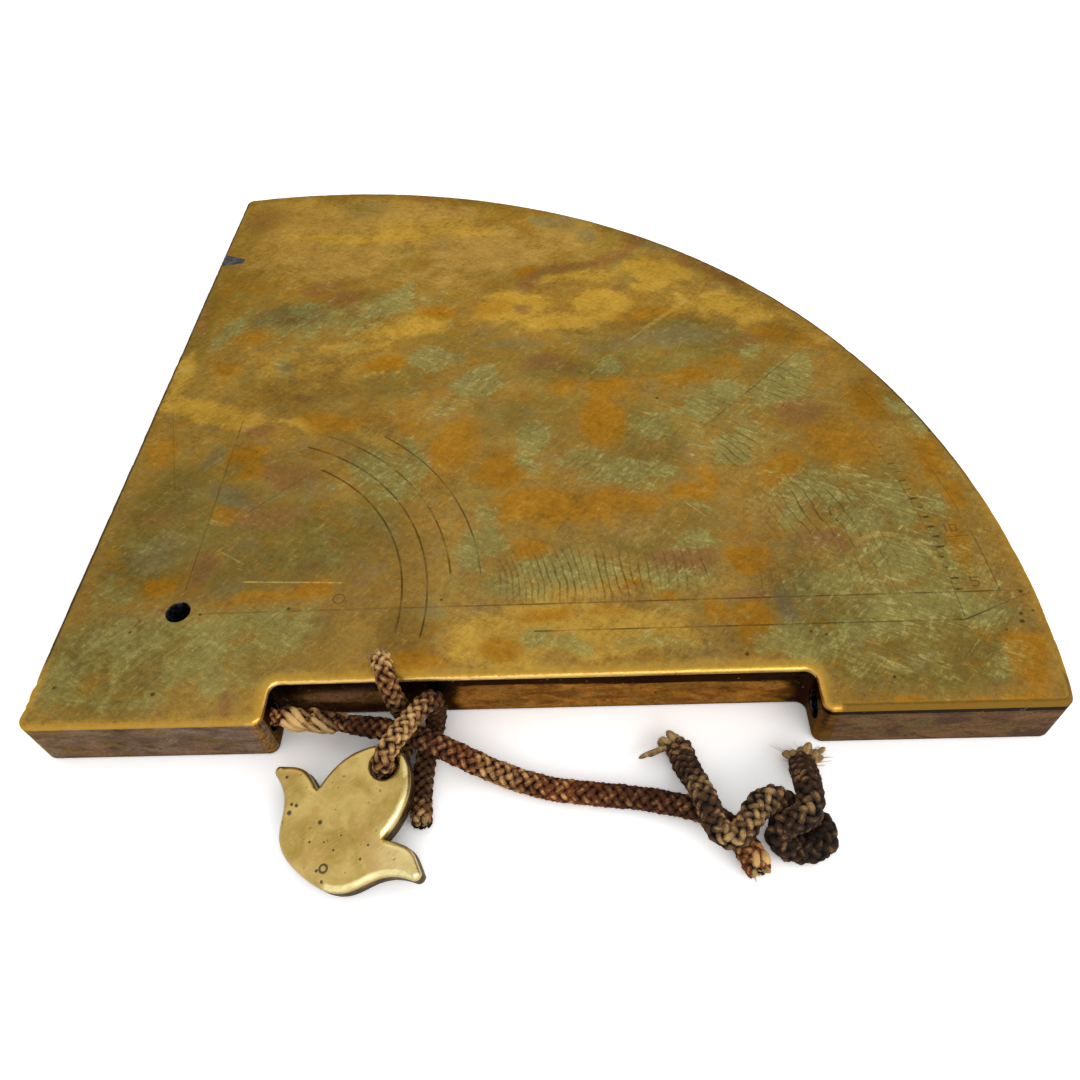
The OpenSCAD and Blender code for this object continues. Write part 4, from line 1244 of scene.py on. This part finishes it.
    def wall_marks(self, at: np.ndarray) -> dict[str, np.ndarray]:
        """Painted shade with a dark spot at the right tip, coppery stains with a painted reflection, gilding
        and warmth of the walls, each from 0 to 1.
        """
        x, y, z = at.T
        x0, x1, back = self.recess
        in_recess = (y > self.edge_y + 2) & (y < back + 3) & (x > x0 - 3) & (x < x1 + 3)
        back_wall, edge_wall = y > back - 3, y < self.edge_y + 1
        front_wall = (x > x1 - 2) & (y < back) & ~in_recess
        # Painted reflection: a paler rosy lens on the recess's back wall. Painted shade: the recess black at
        # its left and at its right end, and a black band under the rim there and on the front wall. A dark
        # spot at the right tip.
        lens = np.exp(-(((x - 47) / 12.5) ** 4) - ((z - 8.6) / 3.0) ** 2)
        deep = 1.3 * slope(-x, -78, 10) - 1.5 * lens * back_wall
        line = slope(z + 0.02 * (x - 60), 12.4, 0.8) * 0.95
        ends = slope(x, x1 - 18, 16) ** 2 * 0.8
        shade_and_spot = in_recess * np.maximum.reduce([deep, ends, line])
        corner = hill(x, 217, 1.6) * hill(y, -31, 2.4)
        shade_and_spot = np.maximum.reduce([shade_and_spot, 0.95 * front_wall * slope(z, 13.3, 0.5), corner])
        gild = ((x < x0 + 1) & (x > x0 - 8) & (y < self.edge_y + 4)) * hill(x, x0 - 1.4, 1.2) * 0.8
        copper_and_reflection = np.maximum.reduce([
            edge_wall * hill(x, -17, 5) * hill(z, 4.5, 3), 0.5 * edge_wall * hill(x, 12, 7) * hill(z, 3.5, 3),
            0.75 * lens * in_recess * back_wall, 0.25 * front_wall * hill(z, 12.2, 0.5)])
        warm = 0.5 * slope(x, x0 + 4, 6) + 0.5 * in_recess * slope(x, 60, 10)
        warm = np.maximum(warm, 0.36 * slope(y, -26, 10))
        return {"shade_and_spot": np.clip(shade_and_spot, 0, 1), "copper_and_reflection": copper_and_reflection, "gild": gild, "warm": warm}


@dataclass
class PlumbBob:
    """The tulip-shaped bob, leaning on the cord under its eye."""

    thickness: float = 6.5
    upper_round: float = 2.1
    foot_round: float = 1.2
    eye: float = 6.4
    wear: float = 0.9
    lean: float = 9.5
    turn: float = 54.7
    place: tuple[float, float, float] = (59.2, -40.9, 4.892)

    def half(self) -> np.ndarray:
        """Half outline from the lobe's crown to the foot: cubic curves and a round petal tip."""

        def curve(points: tuple, n: int) -> np.ndarray:
            """Points of a cubic curve, its end left out."""
            p, t = np.array(points, float), np.linspace(0, 1, n, endpoint=False)[:, None]
            u = 1 - t
            return u**3 * p[0] + 3 * t * u**2 * p[1] + 3 * t * t * u * p[2] + t**3 * p[3]

        c, r = np.array([-14.6, 21.1]), 1.5
        a = np.radians(np.linspace(54, 156, 13))
        round_tip = c + r * np.stack([np.cos(a), np.sin(a)], axis=1)
        tip, end = round_tip[:-1], round_tip[-1]
        lobe = curve(((5.2, 0), (5.2, 3.5), (-0.4, 12.1), (-12.8, 10.4)), 44)
        upper = curve(((-12.8, 10.4), (-10, 17), c + [3.7, -3.7], tip[0]), 30)
        under = curve((end, c + [-4.6, -11.9], (-29.2, 16.5), (-29.2, 0)), 48)
        return np.vstack([lobe, upper, tip, under, [[-29.2, 0]]])

    def build(self) -> bpy.types.Object:
        """Carry the rounded edge profile round the outline and close both faces."""
        h = self.half()
        p = np.vstack([h, (h * [1, -1])[-2:0:-1]])
        n_in = inward(p)
        q = np.linspace(0, np.pi / 2, 8)
        f, u, deep = self.foot_round, self.upper_round, self.thickness
        rows = [(f * (1 - math.sin(v)), f * (1 - math.cos(v))) for v in q]
        rows += [(u * (1 - math.cos(v)), deep - u + u * math.sin(v)) for v in q]
        flat = np.vstack([np.column_stack([p + n_in * inset, np.full(len(p), z)]) for inset, z in rows])
        flat[:, 2] += 0.05 * layered_noise(flat, 6, 3) * (flat[:, 2] > 3)
        flat[:, :2] += 0.12 * np.column_stack([layered_noise(flat, 7, 4), layered_noise(flat, 7, 14)])
        count = len(p)
        faces = grid_faces(len(rows), count).tolist()
        faces.append(list(range(count))[::-1])
        faces.append(list(range((len(rows) - 1) * count, len(rows) * count)))
        piece = make_piece("bob_casting", flat, faces, 50)
        cut_away(piece, [turned(flared(self.eye / 2, self.wear, 0, deep, 1), (0, 0, 0), "Z", 72)])
        _, y, z = places_of(piece).T
        nx, ny, nz = places_of(piece, "normal", 1).T
        # Painted shade: marks the sides and the underside, which the finish darkens
        write_attribute(piece, "rim", slope(-z, u * 0.72 - deep, 0.9))
        # Painted highlight: the rounded upper edge on the lobe's right and round the right petal, where it
        # faces the front lamp, made pale
        side = slope(-ny * 0.9 + np.where(y < -6, -nx, 0) * 0.7, 0.12, 0.3) * slope(nz, 0.3, 0.25)
        write_attribute(piece, "worn_and_lit_edges", side * (z < deep - 0.12) * slope(-y, -2, 4))
        turn = Matrix.Rotation(math.radians(self.turn), 4, "Z")
        turn = turn @ Matrix.Rotation(math.radians(-self.lean), 4, "Y")
        piece.data.transform(Matrix.Translation(Vector(self.place) * MM) @ turn)
        piece.data.shade_smooth()
        piece.data.set_sharp_from_angle(angle=math.radians(50))
        return piece


@dataclass(frozen=True)
class Fray:
    """A cut end that has come apart: which end, how many yarns, their length, thickness and spread."""

    end: int
    count: int
    reach: float
    thick: float
    wide: float
    seed: int
    pale: float = 0.8
    pull: tuple[float, float, float] = (0.0, 0.0, 0.0)


@dataclass(frozen=True)
class Ply:
    """A stretch where the cord shows fat twisted plies over its braid."""

    start: float
    finish: float
    count: int
    radius: float
    offset: float
    pitch: float
    pale: float
    pale_end: float
    seed: int
    ragged: float = 2.0


# Distance from one ring of a ply's tube to the next, and vertices round it
PLY_STEP, PLY_SIDES = 0.45, 12


@dataclass
class BraidedCord:
    """A round braid: half its strands wind each way, each passing over and under the others.

    Strand k at length s lies at angle +-2 pi s / lay + its own offset, at a radius that rises and
    falls each_way times a turn, so that it is outside at one crossing and inside at the next.
    """

    name: str
    route: tuple[tuple[float, float, float], ...]
    diameter: float
    yarn: Yarn
    lay: float = 12.4
    each_way: int = 5
    step: float = 0.36
    sides: int = 8
    # pale and dark: spheres of x, y, z, radius and strength. The dark ones are mostly painted shade, under
    # and beside crossings, in the bob's eye and inside the knot. The pale ones are partly paler yarn and
    # partly a painted highlight on the raised parts of the hitch and the knot.
    pale: tuple[tuple[float, float, float, float, float], ...] = ()
    dark: tuple[tuple[float, float, float, float, float], ...] = ()
    swell: tuple[tuple[float, float, float], ...] = ()
    frays: tuple[Fray, ...] = ()
    plies: tuple[Ply, ...] = ()

    def strands(self, path: np.ndarray) -> tuple[np.ndarray, np.ndarray, np.ndarray, np.ndarray]:
        """Work out all the strands' surfaces at once.

        Args:
            path: samples of the cord's middle.

        Returns:
            Points by strand, sample and side, then the along, round and worn values there; the worn value is
            wear and painted light and shade.
        """
        _, side, other = carried_frame(path)
        s = np.arange(len(path)) * self.step
        size = np.ones(len(path))
        for at, width, gain in self.swell:
            size += gain * hill(s, at, width)
        ring = self.diameter * 0.33 * size
        lift = self.diameter * 0.07
        k = np.arange(2 * self.each_way)
        sign = np.where(k < self.each_way, 1.0, -1.0)[:, None]
        offset = (2 * np.pi * (k % self.each_way) / self.each_way)[:, None]
        phase = 2 * np.pi * s[None, :] / self.lay
        jitter = 0.14 * np.stack([line_noise(s, 50 * i, 5, 17) for i in k])
        angle = sign * phase + offset + jitter
        radius = ring[None, :] + sign * lift * np.cos(self.each_way * phase)
        out = np.cos(angle)[..., None] * side[None] + np.sin(angle)[..., None] * other[None]
        centre = path[None] + radius[..., None] * out
        way = unit_rows(np.gradient(centre, axis=1))
        flank = unit_rows(np.cross(out, way))
        out = np.cross(way, flank)
        a = np.linspace(0, 2 * np.pi, self.sides, endpoint=False)
        plump = np.stack([line_noise(s, 77 * i, 2.6, 29) for i in k])
        wide = self.diameter * (0.158 + 0.026 * plump) * size
        high = self.diameter * (0.15 + 0.03 * plump) * size
        shape = wide[:, :, None, None] * np.cos(a)[None, None, :, None] * flank[:, :, None, :]
        shape = shape + high[:, :, None, None] * np.sin(a)[None, None, :, None] * out[:, :, None, :]
        points = centre[:, :, None, :] + shape
        along = np.broadcast_to(s[None, :, None], points.shape[:3])
        round_ = np.broadcast_to(a / (2 * np.pi), points.shape[:3])
        tuned = np.stack([line_noise(s, 31 * i, 1.7, 23) for i in k])
        # Wear and painted light and shade: each strand paler on its outer crown and where it lies outside at
        # a crossing, darker at its sides and where it dips under
        worn = (0.5 + 0.5 * np.sin(a)[None, None, :] * np.ones(points.shape[:3])) ** 1.5
        worn = worn * (0.6 + 0.4 * (sign * np.cos(self.each_way * phase))[..., None]) + 0.2 * tuned[..., None]
        return points, along, round_, worn

    def tubes(self, mid: np.ndarray, thick: np.ndarray, sides: int) -> tuple[np.ndarray, list]:
        """Closed tubes of varying radius round several paths.

        Args:
            mid: paths by samples by 3.
            thick: radius by path and sample.
            sides: vertices round.

        Returns:
            Vertices and faces.
        """
        count, samples = mid.shape[:2]
        tangent = unit_rows(np.gradient(mid, axis=1))
        u = unit_rows(np.cross(tangent, [0.31, 0.11, 0.94]))
        v = np.cross(tangent, u)
        b = np.linspace(0, 2 * np.pi, sides, endpoint=False)
        ring = np.cos(b)[:, None] * u[:, :, None, :] + np.sin(b)[:, None] * v[:, :, None, :]
        points = (mid[:, :, None, :] + thick[:, :, None, None] * ring).reshape(-1, 3)
        return points, capped_tubes(count, samples, sides)

    def frayed(self, path: np.ndarray, fray: "Fray") -> tuple[np.ndarray, list]:
        """Loose yarn at a cut: tubes that leave the cord's end, lean outwards and curl.

        Args:
            path: samples of the cord's middle.
            fray: how the end has come apart.

        Returns:
            Vertices and faces of all the yarns.
        """
        rng = np.random.default_rng(fray.seed)
        tip, inner = (path[-1], path[-6]) if fray.end else (path[0], path[5])
        way = unit_rows((tip - inner)[None])[0]
        t = (1 - (1 - np.linspace(0, 1, 12)) ** 2)[None, :, None]
        side = unit_rows(np.cross(way, [0, 0, 1.0])[None])[0]
        other = np.cross(side, way)
        count = fray.count
        a = (2 * np.pi * (np.arange(count) + rng.uniform(-0.35, 0.35, count)) / count)[:, None, None]
        off = rng.uniform(0.12, 0.4, count)[:, None, None] * self.diameter
        radial = np.cos(a) * side * fray.wide + np.sin(a) * other * 0.6
        length = (fray.reach * rng.uniform(0.7, 1.15, count))[:, None, None]
        lean = rng.uniform(0.25, 1.0, count)[:, None, None] * radial + np.array(fray.pull)
        curl = rng.normal(0, 0.16, (count, 1, 3)) * length
        mid = tip - way + (np.cos(a) * side + np.sin(a) * other) * off
        mid = mid + way * length * t + lean * length * t**1.6 + curl * t**2
        thick = fray.thick * rng.uniform(0.75, 1.2, count)[:, None]
        stout = fray.thick > 0.3
        if stout:
            left = np.clip((1 - t[..., 0]) * length[..., 0] / thick, 0, 1)
            shape = np.sqrt(np.clip(1 - (1 - left) ** 2, 0.04, 1)) * (0.85 + 0.2 * t[..., 0])
        else:
            shape = 1 - 0.7 * t[..., 0] ** 2
        mid[..., 2] = np.maximum(mid[..., 2], 0.15 + fray.thick)
        return self.tubes(mid, thick * shape, 7 if stout else 4)

    def plied(self, path: np.ndarray, ply: "Ply") -> tuple[np.ndarray, list, np.ndarray, np.ndarray]:
        """Fat plies laid over a stretch: ply k at length s lies at angle 2 pi (s / pitch + k / count).

        Args:
            path: samples of the cord's middle.
            ply: where they run and how thick they are.

        Returns:
            Vertices, faces, and the worn and pale values of each vertex; the worn value is painted light and
            shade.
        """
        _, side, other = carried_frame(path)
        s = np.arange(len(path)) * self.step
        rng = np.random.default_rng(ply.seed)
        verts, faces, worn, pale = [], [], [], []
        for k in range(ply.count):
            last = ply.finish - rng.uniform(0, ply.ragged)
            begin, count = ply.start + rng.uniform(0, ply.ragged * 0.4), int((last - ply.start) / PLY_STEP)
            at = np.linspace(begin, last, count)
            angle = 2 * np.pi * (at / ply.pitch + k / ply.count)
            mid, u, v = (
                np.stack([np.interp(at, s, w[:, i]) for i in range(3)], axis=1) for w in (path, side, other))
            wave = 0.3 * line_noise(at, 9 * k, 3, ply.seed)
            angle = angle + 0.25 * line_noise(at, 19 * k, 5, ply.seed)
            tone, full = rng.uniform(0.25, 1.0), rng.uniform(0.8, 1.15)
            heart = mid
            outward = np.cos(angle)[:, None] * u + np.sin(angle)[:, None] * v
            mid = mid + (ply.offset + wave)[:, None] * outward
            near = np.minimum(at - at[0], at[-1] - at) / (0.9 * ply.radius)
            tapered = np.sqrt(np.clip(1 - np.clip(1 - near, 0, 1) ** 2, 0.02, 1))
            thick = ply.radius * full * (1 + 0.7 * wave) * tapered
            mid[:, 2] = np.maximum(mid[:, 2], thick + 0.1)
            pts, fcs = self.tubes(mid[None], thick[None], PLY_SIDES)
            first = sum(len(w) for w in verts)
            faces += [[i + first for i in f] for f in fcs]
            verts.append(pts)
            far = np.linalg.norm(pts.reshape(-1, PLY_SIDES, 3) - heart[:, None], axis=2).ravel()
            reach = ply.offset + ply.radius
            # Painted light and shade: the plies' outer side paler, their inner side darker
            worn.append(1.15 * (far - 0.55 * reach) / (0.45 * reach))
            share = slope(at, ply.start, ply.finish - ply.start)
            drift = ply.pale * (1 - share) + ply.pale_end * share
            pale.append(np.repeat(tone * drift + 0.4 * wave, PLY_SIDES))
        return np.vstack(verts), faces, np.concatenate(worn), np.concatenate(pale)

    def build(self) -> bpy.types.Object:
        """Make the cord with a core painted dark as the shade in its gaps, its strands, its fat plies and its
        loose ends.

        Returns:
            One object, with the strand UV map and the worn, pale and dark attributes.
        """
        path = smooth_route(np.array(self.route, float), self.step)
        points, along, round_, worn = self.strands(path)
        strands, samples, sides = points.shape[:3]
        verts = [points.reshape(-1, 3)]
        uv = [np.stack([along, round_], axis=-1).reshape(-1, 2)]
        lit_and_worn = [worn.reshape(-1)]
        pale_all = [np.zeros(points.size // 3)]
        faces = capped_tubes(strands, samples, sides)
        core, ends = self.tubes(path[None], np.full((1, samples), self.diameter * 0.3), 8)
        # Painted shade: the core gets a low worn value, so it is dark
        extras = [(core, ends, -0.6, 0.0)]
        for ply in self.plies:
            extras.append(self.plied(path, ply))
        for fray in self.frays:
            extras.append((*self.frayed(path, fray), 0.9, fray.pale))
        for pts, fcs, wear, pale in extras:
            first = sum(len(v) for v in verts)
            faces += [[i + first for i in f] for f in fcs]
            verts.append(pts)
            n = np.arange(len(pts))
            uv.append(np.column_stack([n // PLY_SIDES * PLY_STEP, n % PLY_SIDES / PLY_SIDES]))
            lit_and_worn.append(np.zeros(len(pts)) + wear)
            pale_all.append(np.zeros(len(pts)) + pale)
        verts, uv, pale = np.vstack(verts), np.vstack(uv), np.concatenate(pale_all)
        verts[:, 2] = np.maximum(verts[:, 2], 0.08)
        piece = make_piece(self.name, verts, faces, 60)
        mesh = piece.data
        corners = np.empty(len(mesh.loops), np.int32)
        mesh.loops.foreach_get("vertex_index", corners)
        mesh.uv_layers.new(name="strand").data.foreach_set("uv", uv[corners].astype(np.float32).ravel())
        dark = np.zeros(len(verts))
        for rows, value in ((self.pale, pale), (self.dark, dark)):
            for x, y, z, radius, strength in rows:
                d = np.linalg.norm(verts - [x, y, z], axis=1)
                np.maximum(value, strength * np.clip(1.6 - d / radius, 0, 1), out=value)
        for name, value in (("worn", np.concatenate(lit_and_worn)), ("pale", pale), ("dark", dark)):
            write_attribute(piece, name, value)
        mesh.materials.append(self.yarn.dress())
        return piece


MAIN_ROUTE = (
    (17, -27, 8.25), (30, -27, 8.25), (38, -28, 8.2), (47, -29.3, 8.2), (54, -30.4, 8.1), (61, -31.8, 8),
    (67.5, -34.2, 8), (74, -36.9, 6.9), (81, -39.6, 5.1), (90, -42.7, 3.3), (99, -45, 2.8),
    (108.5, -46.3, 2.8), (118, -47.5, 2.8), (127, -49.3, 2.8), (132.5, -51, 2.8), (137, -54, 2.8),
    (140.5, -58.5, 2.8), (142.6, -64.5, 2.8),
)
BOB_ROUTE = (
    (56.3, -17.6, 19.3), (57.4, -20.4, 19.5), (58.5, -23.2, 18.7), (59.2, -25.1, 16.4), (59.9, -26.2, 13.4),
    (60.6, -26.4, 10.4), (61.1, -26.4, 7.4), (61.4, -27.2, 4.6), (61.3, -29.2, 2.8), (60.8, -32, 2.6),
    (60.2, -35, 2.6), (59.8, -37.7, 2.7), (59.5, -39.3, 3.1), (59.3, -40.5, 4.2), (59.2, -41, 5.8),
    (59, -41.3, 7.6), (58.8, -41.6, 9.5), (58.6, -41.9, 11.4), (58.9, -41.5, 13.6), (59.9, -39.8, 14.9),
    (61.4, -37.3, 15.4), (63.2, -34.3, 15), (65, -31.3, 14.5), (66.7, -28.4, 13.9), (68.1, -26.1, 12.7),
    (68.8, -25, 10.6), (69, -25.1, 8), (68.9, -26.2, 5.4), (68.4, -28.4, 3.5), (67.6, -31.6, 2.6),
    (66.9, -35.3, 2.6), (66.5, -39.8, 2.6), (66.5, -44.3, 2.6), (66.8, -48.6, 2.6), (67.3, -52.6, 2.6),
)
STOP_ROUTE = (
    (128.1, -34.4, 2.7), (128.8, -38, 3.3), (129.6, -41.6, 4.9), (130.6, -45.2, 6.9), (131.7, -48.8, 8.4),
    (132.7, -52.2, 8.7), (133.4, -55.2, 8.2), (134.9, -57.9, 7.9), (137.5, -58.8, 8.2), (139.9, -57.3, 8.7),
    (141.8, -54.6, 8.8), (143.9, -52.2, 8.6), (146.7, -50.7, 8), (149.6, -50.4, 6.2), (152.2, -51.5, 4.1),
    (154.7, -52.6, 2.8), (156.9, -53.7, 2.7), (158.2, -55.5, 2.7), (158, -57.7, 2.7), (156.3, -59.2, 2.7),
    (153.9, -59.8, 2.7), (151.2, -59.8, 2.8), (148.8, -59.1, 3.8), (147.8, -57.3, 5.6), (149, -55.9, 7.4),
    (151.4, -55.7, 8.6), (153.7, -54.6, 9.3), (155, -52, 9.3), (155.6, -48.8, 8.4), (156, -45.3, 6.5),
    (156.4, -42, 4.5), (156.9, -39.2, 3.3),
)


# Stage, light and camera


@dataclass(frozen=True)
class Studio:
    """White table, soft lamps and the camera at the photograph's place."""

    place: tuple[float, float, float] = (105.11, -129.52, 193.40)
    yaw: float = -0.0660
    pitch: float = 0.8655
    roll: float = -0.0831
    lens: float = 28.298
    table_white: float = 1.42

    def camera(self) -> None:
        """Aim the camera: forward from yaw and pitch, then rolled about its own axis."""
        cy, sy = math.cos(self.yaw), math.sin(self.yaw)
        cp, sp = math.cos(self.pitch), math.sin(self.pitch)
        forward = Vector((sy * cp, cy * cp, -sp))
        right = Vector((cy, -sy, 0))
        up = right.cross(forward)
        r2 = math.cos(self.roll) * right + math.sin(self.roll) * up
        u2 = -math.sin(self.roll) * right + math.cos(self.roll) * up
        data = bpy.data.cameras.new("camera")
        data.lens, data.sensor_width, data.clip_start = self.lens, 36.0, 0.005
        view = bpy.data.objects.new("camera", data)
        turn = Matrix((r2, u2, -forward)).transposed().to_4x4()
        view.matrix_world = Matrix.Translation(Vector(self.place) * MM) @ turn
        bpy.context.scene.collection.objects.link(view)
        bpy.context.scene.camera = view

    def lamp(self, name: str, place: tuple, aim: tuple, size: float, power: float, tall: float = 1.0) -> None:
        """One soft lamp.

        Args:
            name: its name.
            place: where it hangs, in metres.
            aim: what it faces.
            size: its width.
            power: its watts.
            tall: its height as a share of its width.
        """
        data = bpy.data.lights.new(name, "AREA")
        data.shape, data.size, data.size_y, data.energy = "RECTANGLE", size, size * tall, power
        lamp = bpy.data.objects.new(name, data)
        way = Vector(aim) - Vector(place)
        lamp.matrix_world = Matrix.Translation(place) @ way.to_track_quat("-Z", "Y").to_matrix().to_4x4()
        bpy.context.scene.collection.objects.link(lamp)

    def table(self) -> None:
        """A wide white table top that stays white to the camera and keeps its shadows."""
        n, reach = 60, 2600.0
        g = np.linspace(-reach, reach, n)
        x, y = np.meshgrid(g, g)
        verts = np.column_stack([x.ravel() + 90, y.ravel() + 40, np.full(n * n, -0.02)])
        r, c = np.meshgrid(np.arange(n - 1), np.arange(n - 1), indexing="ij")
        k = r * n + c
        quads = np.stack([k, k + 1, k + n + 1, k + n], axis=-1).reshape(-1, 4)
        top = make_piece("table_top", verts, quads.tolist())
        b = Bench("white_table")
        b.finish((0.8, 0.8, 0.805, 1), 0.6, 0.0)
        b.shader.inputs["Specular IOR Level"].default_value = 0.1
        path, rays = b.node("LightPath").outputs, ("Is Camera Ray", "Is Glossy Ray", "Is Transmission Ray")
        camera, gloss, through = (Signal(b, path[ray]) for ray in rays)
        glow = b.named(b.node("Emission"), Strength=b.math("MAXIMUM", gloss, through) * 0.2)
        both = b.fed(b.node("AddShader"), (Signal(b, b.shader.outputs[0]), glow))
        bright = b.named(b.node("BsdfDiffuse"), Color=(*[self.table_white] * 3, 1))
        b.put(b.out.inputs[0], b.fed(b.node("MixShader"), (camera, both, bright)))
        top.data.materials.append(b.material)

    def sky(self) -> None:
        """White surroundings for what the camera and the gloss see, softer as light."""
        world = bpy.data.worlds.new("studio")
        world.use_nodes = True
        bpy.context.scene.world = world
        tree = world.node_tree
        back = tree.nodes["Background"]
        path = tree.nodes.new("ShaderNodeLightPath")
        most, last = (tree.nodes.new("ShaderNodeMath") for _ in range(2))
        most.operation = last.operation = "MAXIMUM"
        tree.links.new(path.outputs["Is Camera Ray"], most.inputs[0])
        tree.links.new(path.outputs["Is Glossy Ray"], most.inputs[1])
        tree.links.new(most.outputs[0], last.inputs[0])
        tree.links.new(path.outputs["Is Transmission Ray"], last.inputs[1])
        strength = tree.nodes.new("ShaderNodeMapRange")
        tree.links.new(last.outputs[0], strength.inputs[0])
        strength.inputs[3].default_value = 0.8
        strength.inputs[4].default_value = 1.0
        back.inputs[0].default_value = (1, 1, 1, 1)
        tree.links.new(strength.outputs[0], back.inputs[1])

    def build(self) -> None:
        """Set up everything that isn't part of the object."""
        self.camera()
        self.table()
        self.sky()
        self.lamp("softbox_behind", (-0.15, 1.05, 0.58), (0.09, 0.05, 0), 1.2, 1.6)
        self.lamp("softbox_front", (0.62, -0.72, 0.5), (0.06, -0.04, 0), 1.15, 5.0, 0.36)
        scene = bpy.context.scene
        scene.view_settings.view_transform = "Standard"


def make_cords() -> tuple[BraidedCord, BraidedCord, BraidedCord]:
    """Describe the three cords: the main one, the bob's hitch and the short knotted one."""
    tan = Yarn("tan_yarn", (210, 154, 94), (106, 56, 25), (18, 8, 4))
    straw = Yarn("straw_yarn", (212, 164, 102), (120, 74, 37), (22, 11, 5))
    brown = Yarn("brown_yarn", (172, 130, 84), (72, 46, 27), (11, 7, 4))
    main_cord = BraidedCord(
        "cord_main", MAIN_ROUTE, 5.4, tan,
        pale=((86, -41, 6, 6, 0.5),),
        dark=((50, -30, 8, 8, 0.6), (66, -34, 7, 7, 0.8), (124, -49, 3, 14, 0.7), (134, -53, 3, 7, 0.8),
              (56, -31, 4, 8, 0.6)),
        swell=((15, 8, -0.27), (27, 7, -0.27), (131, 5, 0.16), (60, 10, 0.05)),
        plies=(Ply(12.4, 34, 6, 1.0, 2.0, 21, 0.6, 1.3, 4, ragged=6),
               Ply(132.5, 137.4, 6, 1.05, 2.1, 40, 0.1, 0.9, 5, ragged=1.5)),
        frays=(Fray(1, 7, 1.9, 0.85, 0.5, 3), Fray(1, 14, 1.8, 0.14, 0.5, 13)),
    )
    hitch = BraidedCord(
        "cord_hitch", BOB_ROUTE, 5.0, straw, lay=12.0,
        pale=((56, -17, 19, 5, 1.0), (62, -36, 15, 7, 0.6), (67.5, -53, 3, 2.5, 0.8)),
        dark=((60, -27, 8, 6, 0.9), (59, -41, 7, 5, 0.8), (69, -26, 6, 8, 0.9), (66.6, -41, 3, 9, 0.8),
              (64, -33, 13, 3, 0.3)),
        frays=(Fray(0, 8, 2.4, 0.72, 0.5, 5, 1.0), Fray(0, 16, 2.2, 0.14, 0.6, 15),
               Fray(1, 6, 1.5, 0.75, 0.5, 6, 0.9)),
    )
    knot = BraidedCord(
        "cord_knot", STOP_ROUTE, 5.2, brown, lay=12.0,
        pale=((143, -53, 11, 4, 0.45), (154, -54, 12, 2.5, 0.4), (131, -47, 10, 3, 0.3),
              (136, -60, 10, 3, 0.35)),
        dark=((154, -57, 4, 9, 0.9), (147, -57, 4, 5, 0.8), (156, -46, 4, 6, 0.6), (131, -42, 3, 7, 0.5)),
        swell=((42, 7, 0.26), (60, 9, 0.26), (77, 8, 0.16), (92, 8, 0.22), (3, 9, 0.24), (22, 8, 0.12)),
        frays=(Fray(0, 10, 3.6, 0.95, 0.8, 7, 0.85, (-0.45, 0, 0.1)),
               Fray(0, 18, 3.0, 0.13, 0.6, 17, 0.8, (-0.3, 0, 0)),
               Fray(0, 2, 5.2, 0.7, 0.12, 27, 0.8, (-1.2, -1.05, 0)),
               Fray(1, 18, 3.2, 1.0, 1.6, 8, 0.95, (0, 0, 0.25)), Fray(1, 30, 3.8, 0.13, 2.0, 18, 0.9)),
    )
    return main_cord, hitch, knot


def place(piece: bpy.types.Object, body: str, node: str, slot: str) -> bpy.types.Object:
    """Args:
        piece: the finished object.
        body: the moving body that it rides on.
        node: the CAD node that it replaces.
        slot: its material slot; not used.

    Returns:
        The same piece.
    """
    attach(piece, body)
    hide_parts(node)
    log.info("%s: %d faces", piece.name, len(piece.data.polygons))
    return piece


def main() -> None:
    """Build the camera and cords first, then the castings, and say what each is."""
    logging.basicConfig(level=logging.INFO, format="%(name)s: %(message)s")
    Studio().build()
    names = (("main_cord", "cord"), ("bob_hitch", "bob_cord"), ("end_knot", "stop_cord"))
    line, *knotted = (place(cord.build(), "quadrant", *name) for cord, name in zip(make_cords(), names))
    for part, finish, names in (
        (QuadrantPlate(), AgedBrass(), ("quadrant", "quadrant_plate", "plate_brass")),
        (PlumbBob(), PolishedBob(), ("bob", "plumb_bob", "bob_brass")),
    ):
        piece = part.build()
        piece.data.materials.clear()
        piece.data.materials.append(finish.dress())
        place(piece, *names)
    lead = LeadRepair().dress()
    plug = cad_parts["repair_plug"]
    for slot in plug.material_slots:
        slot.material = lead
    log.info("%s: the CAD's own solid, dressed as lead", plug.name)


if __name__ == "__main__":
    main()
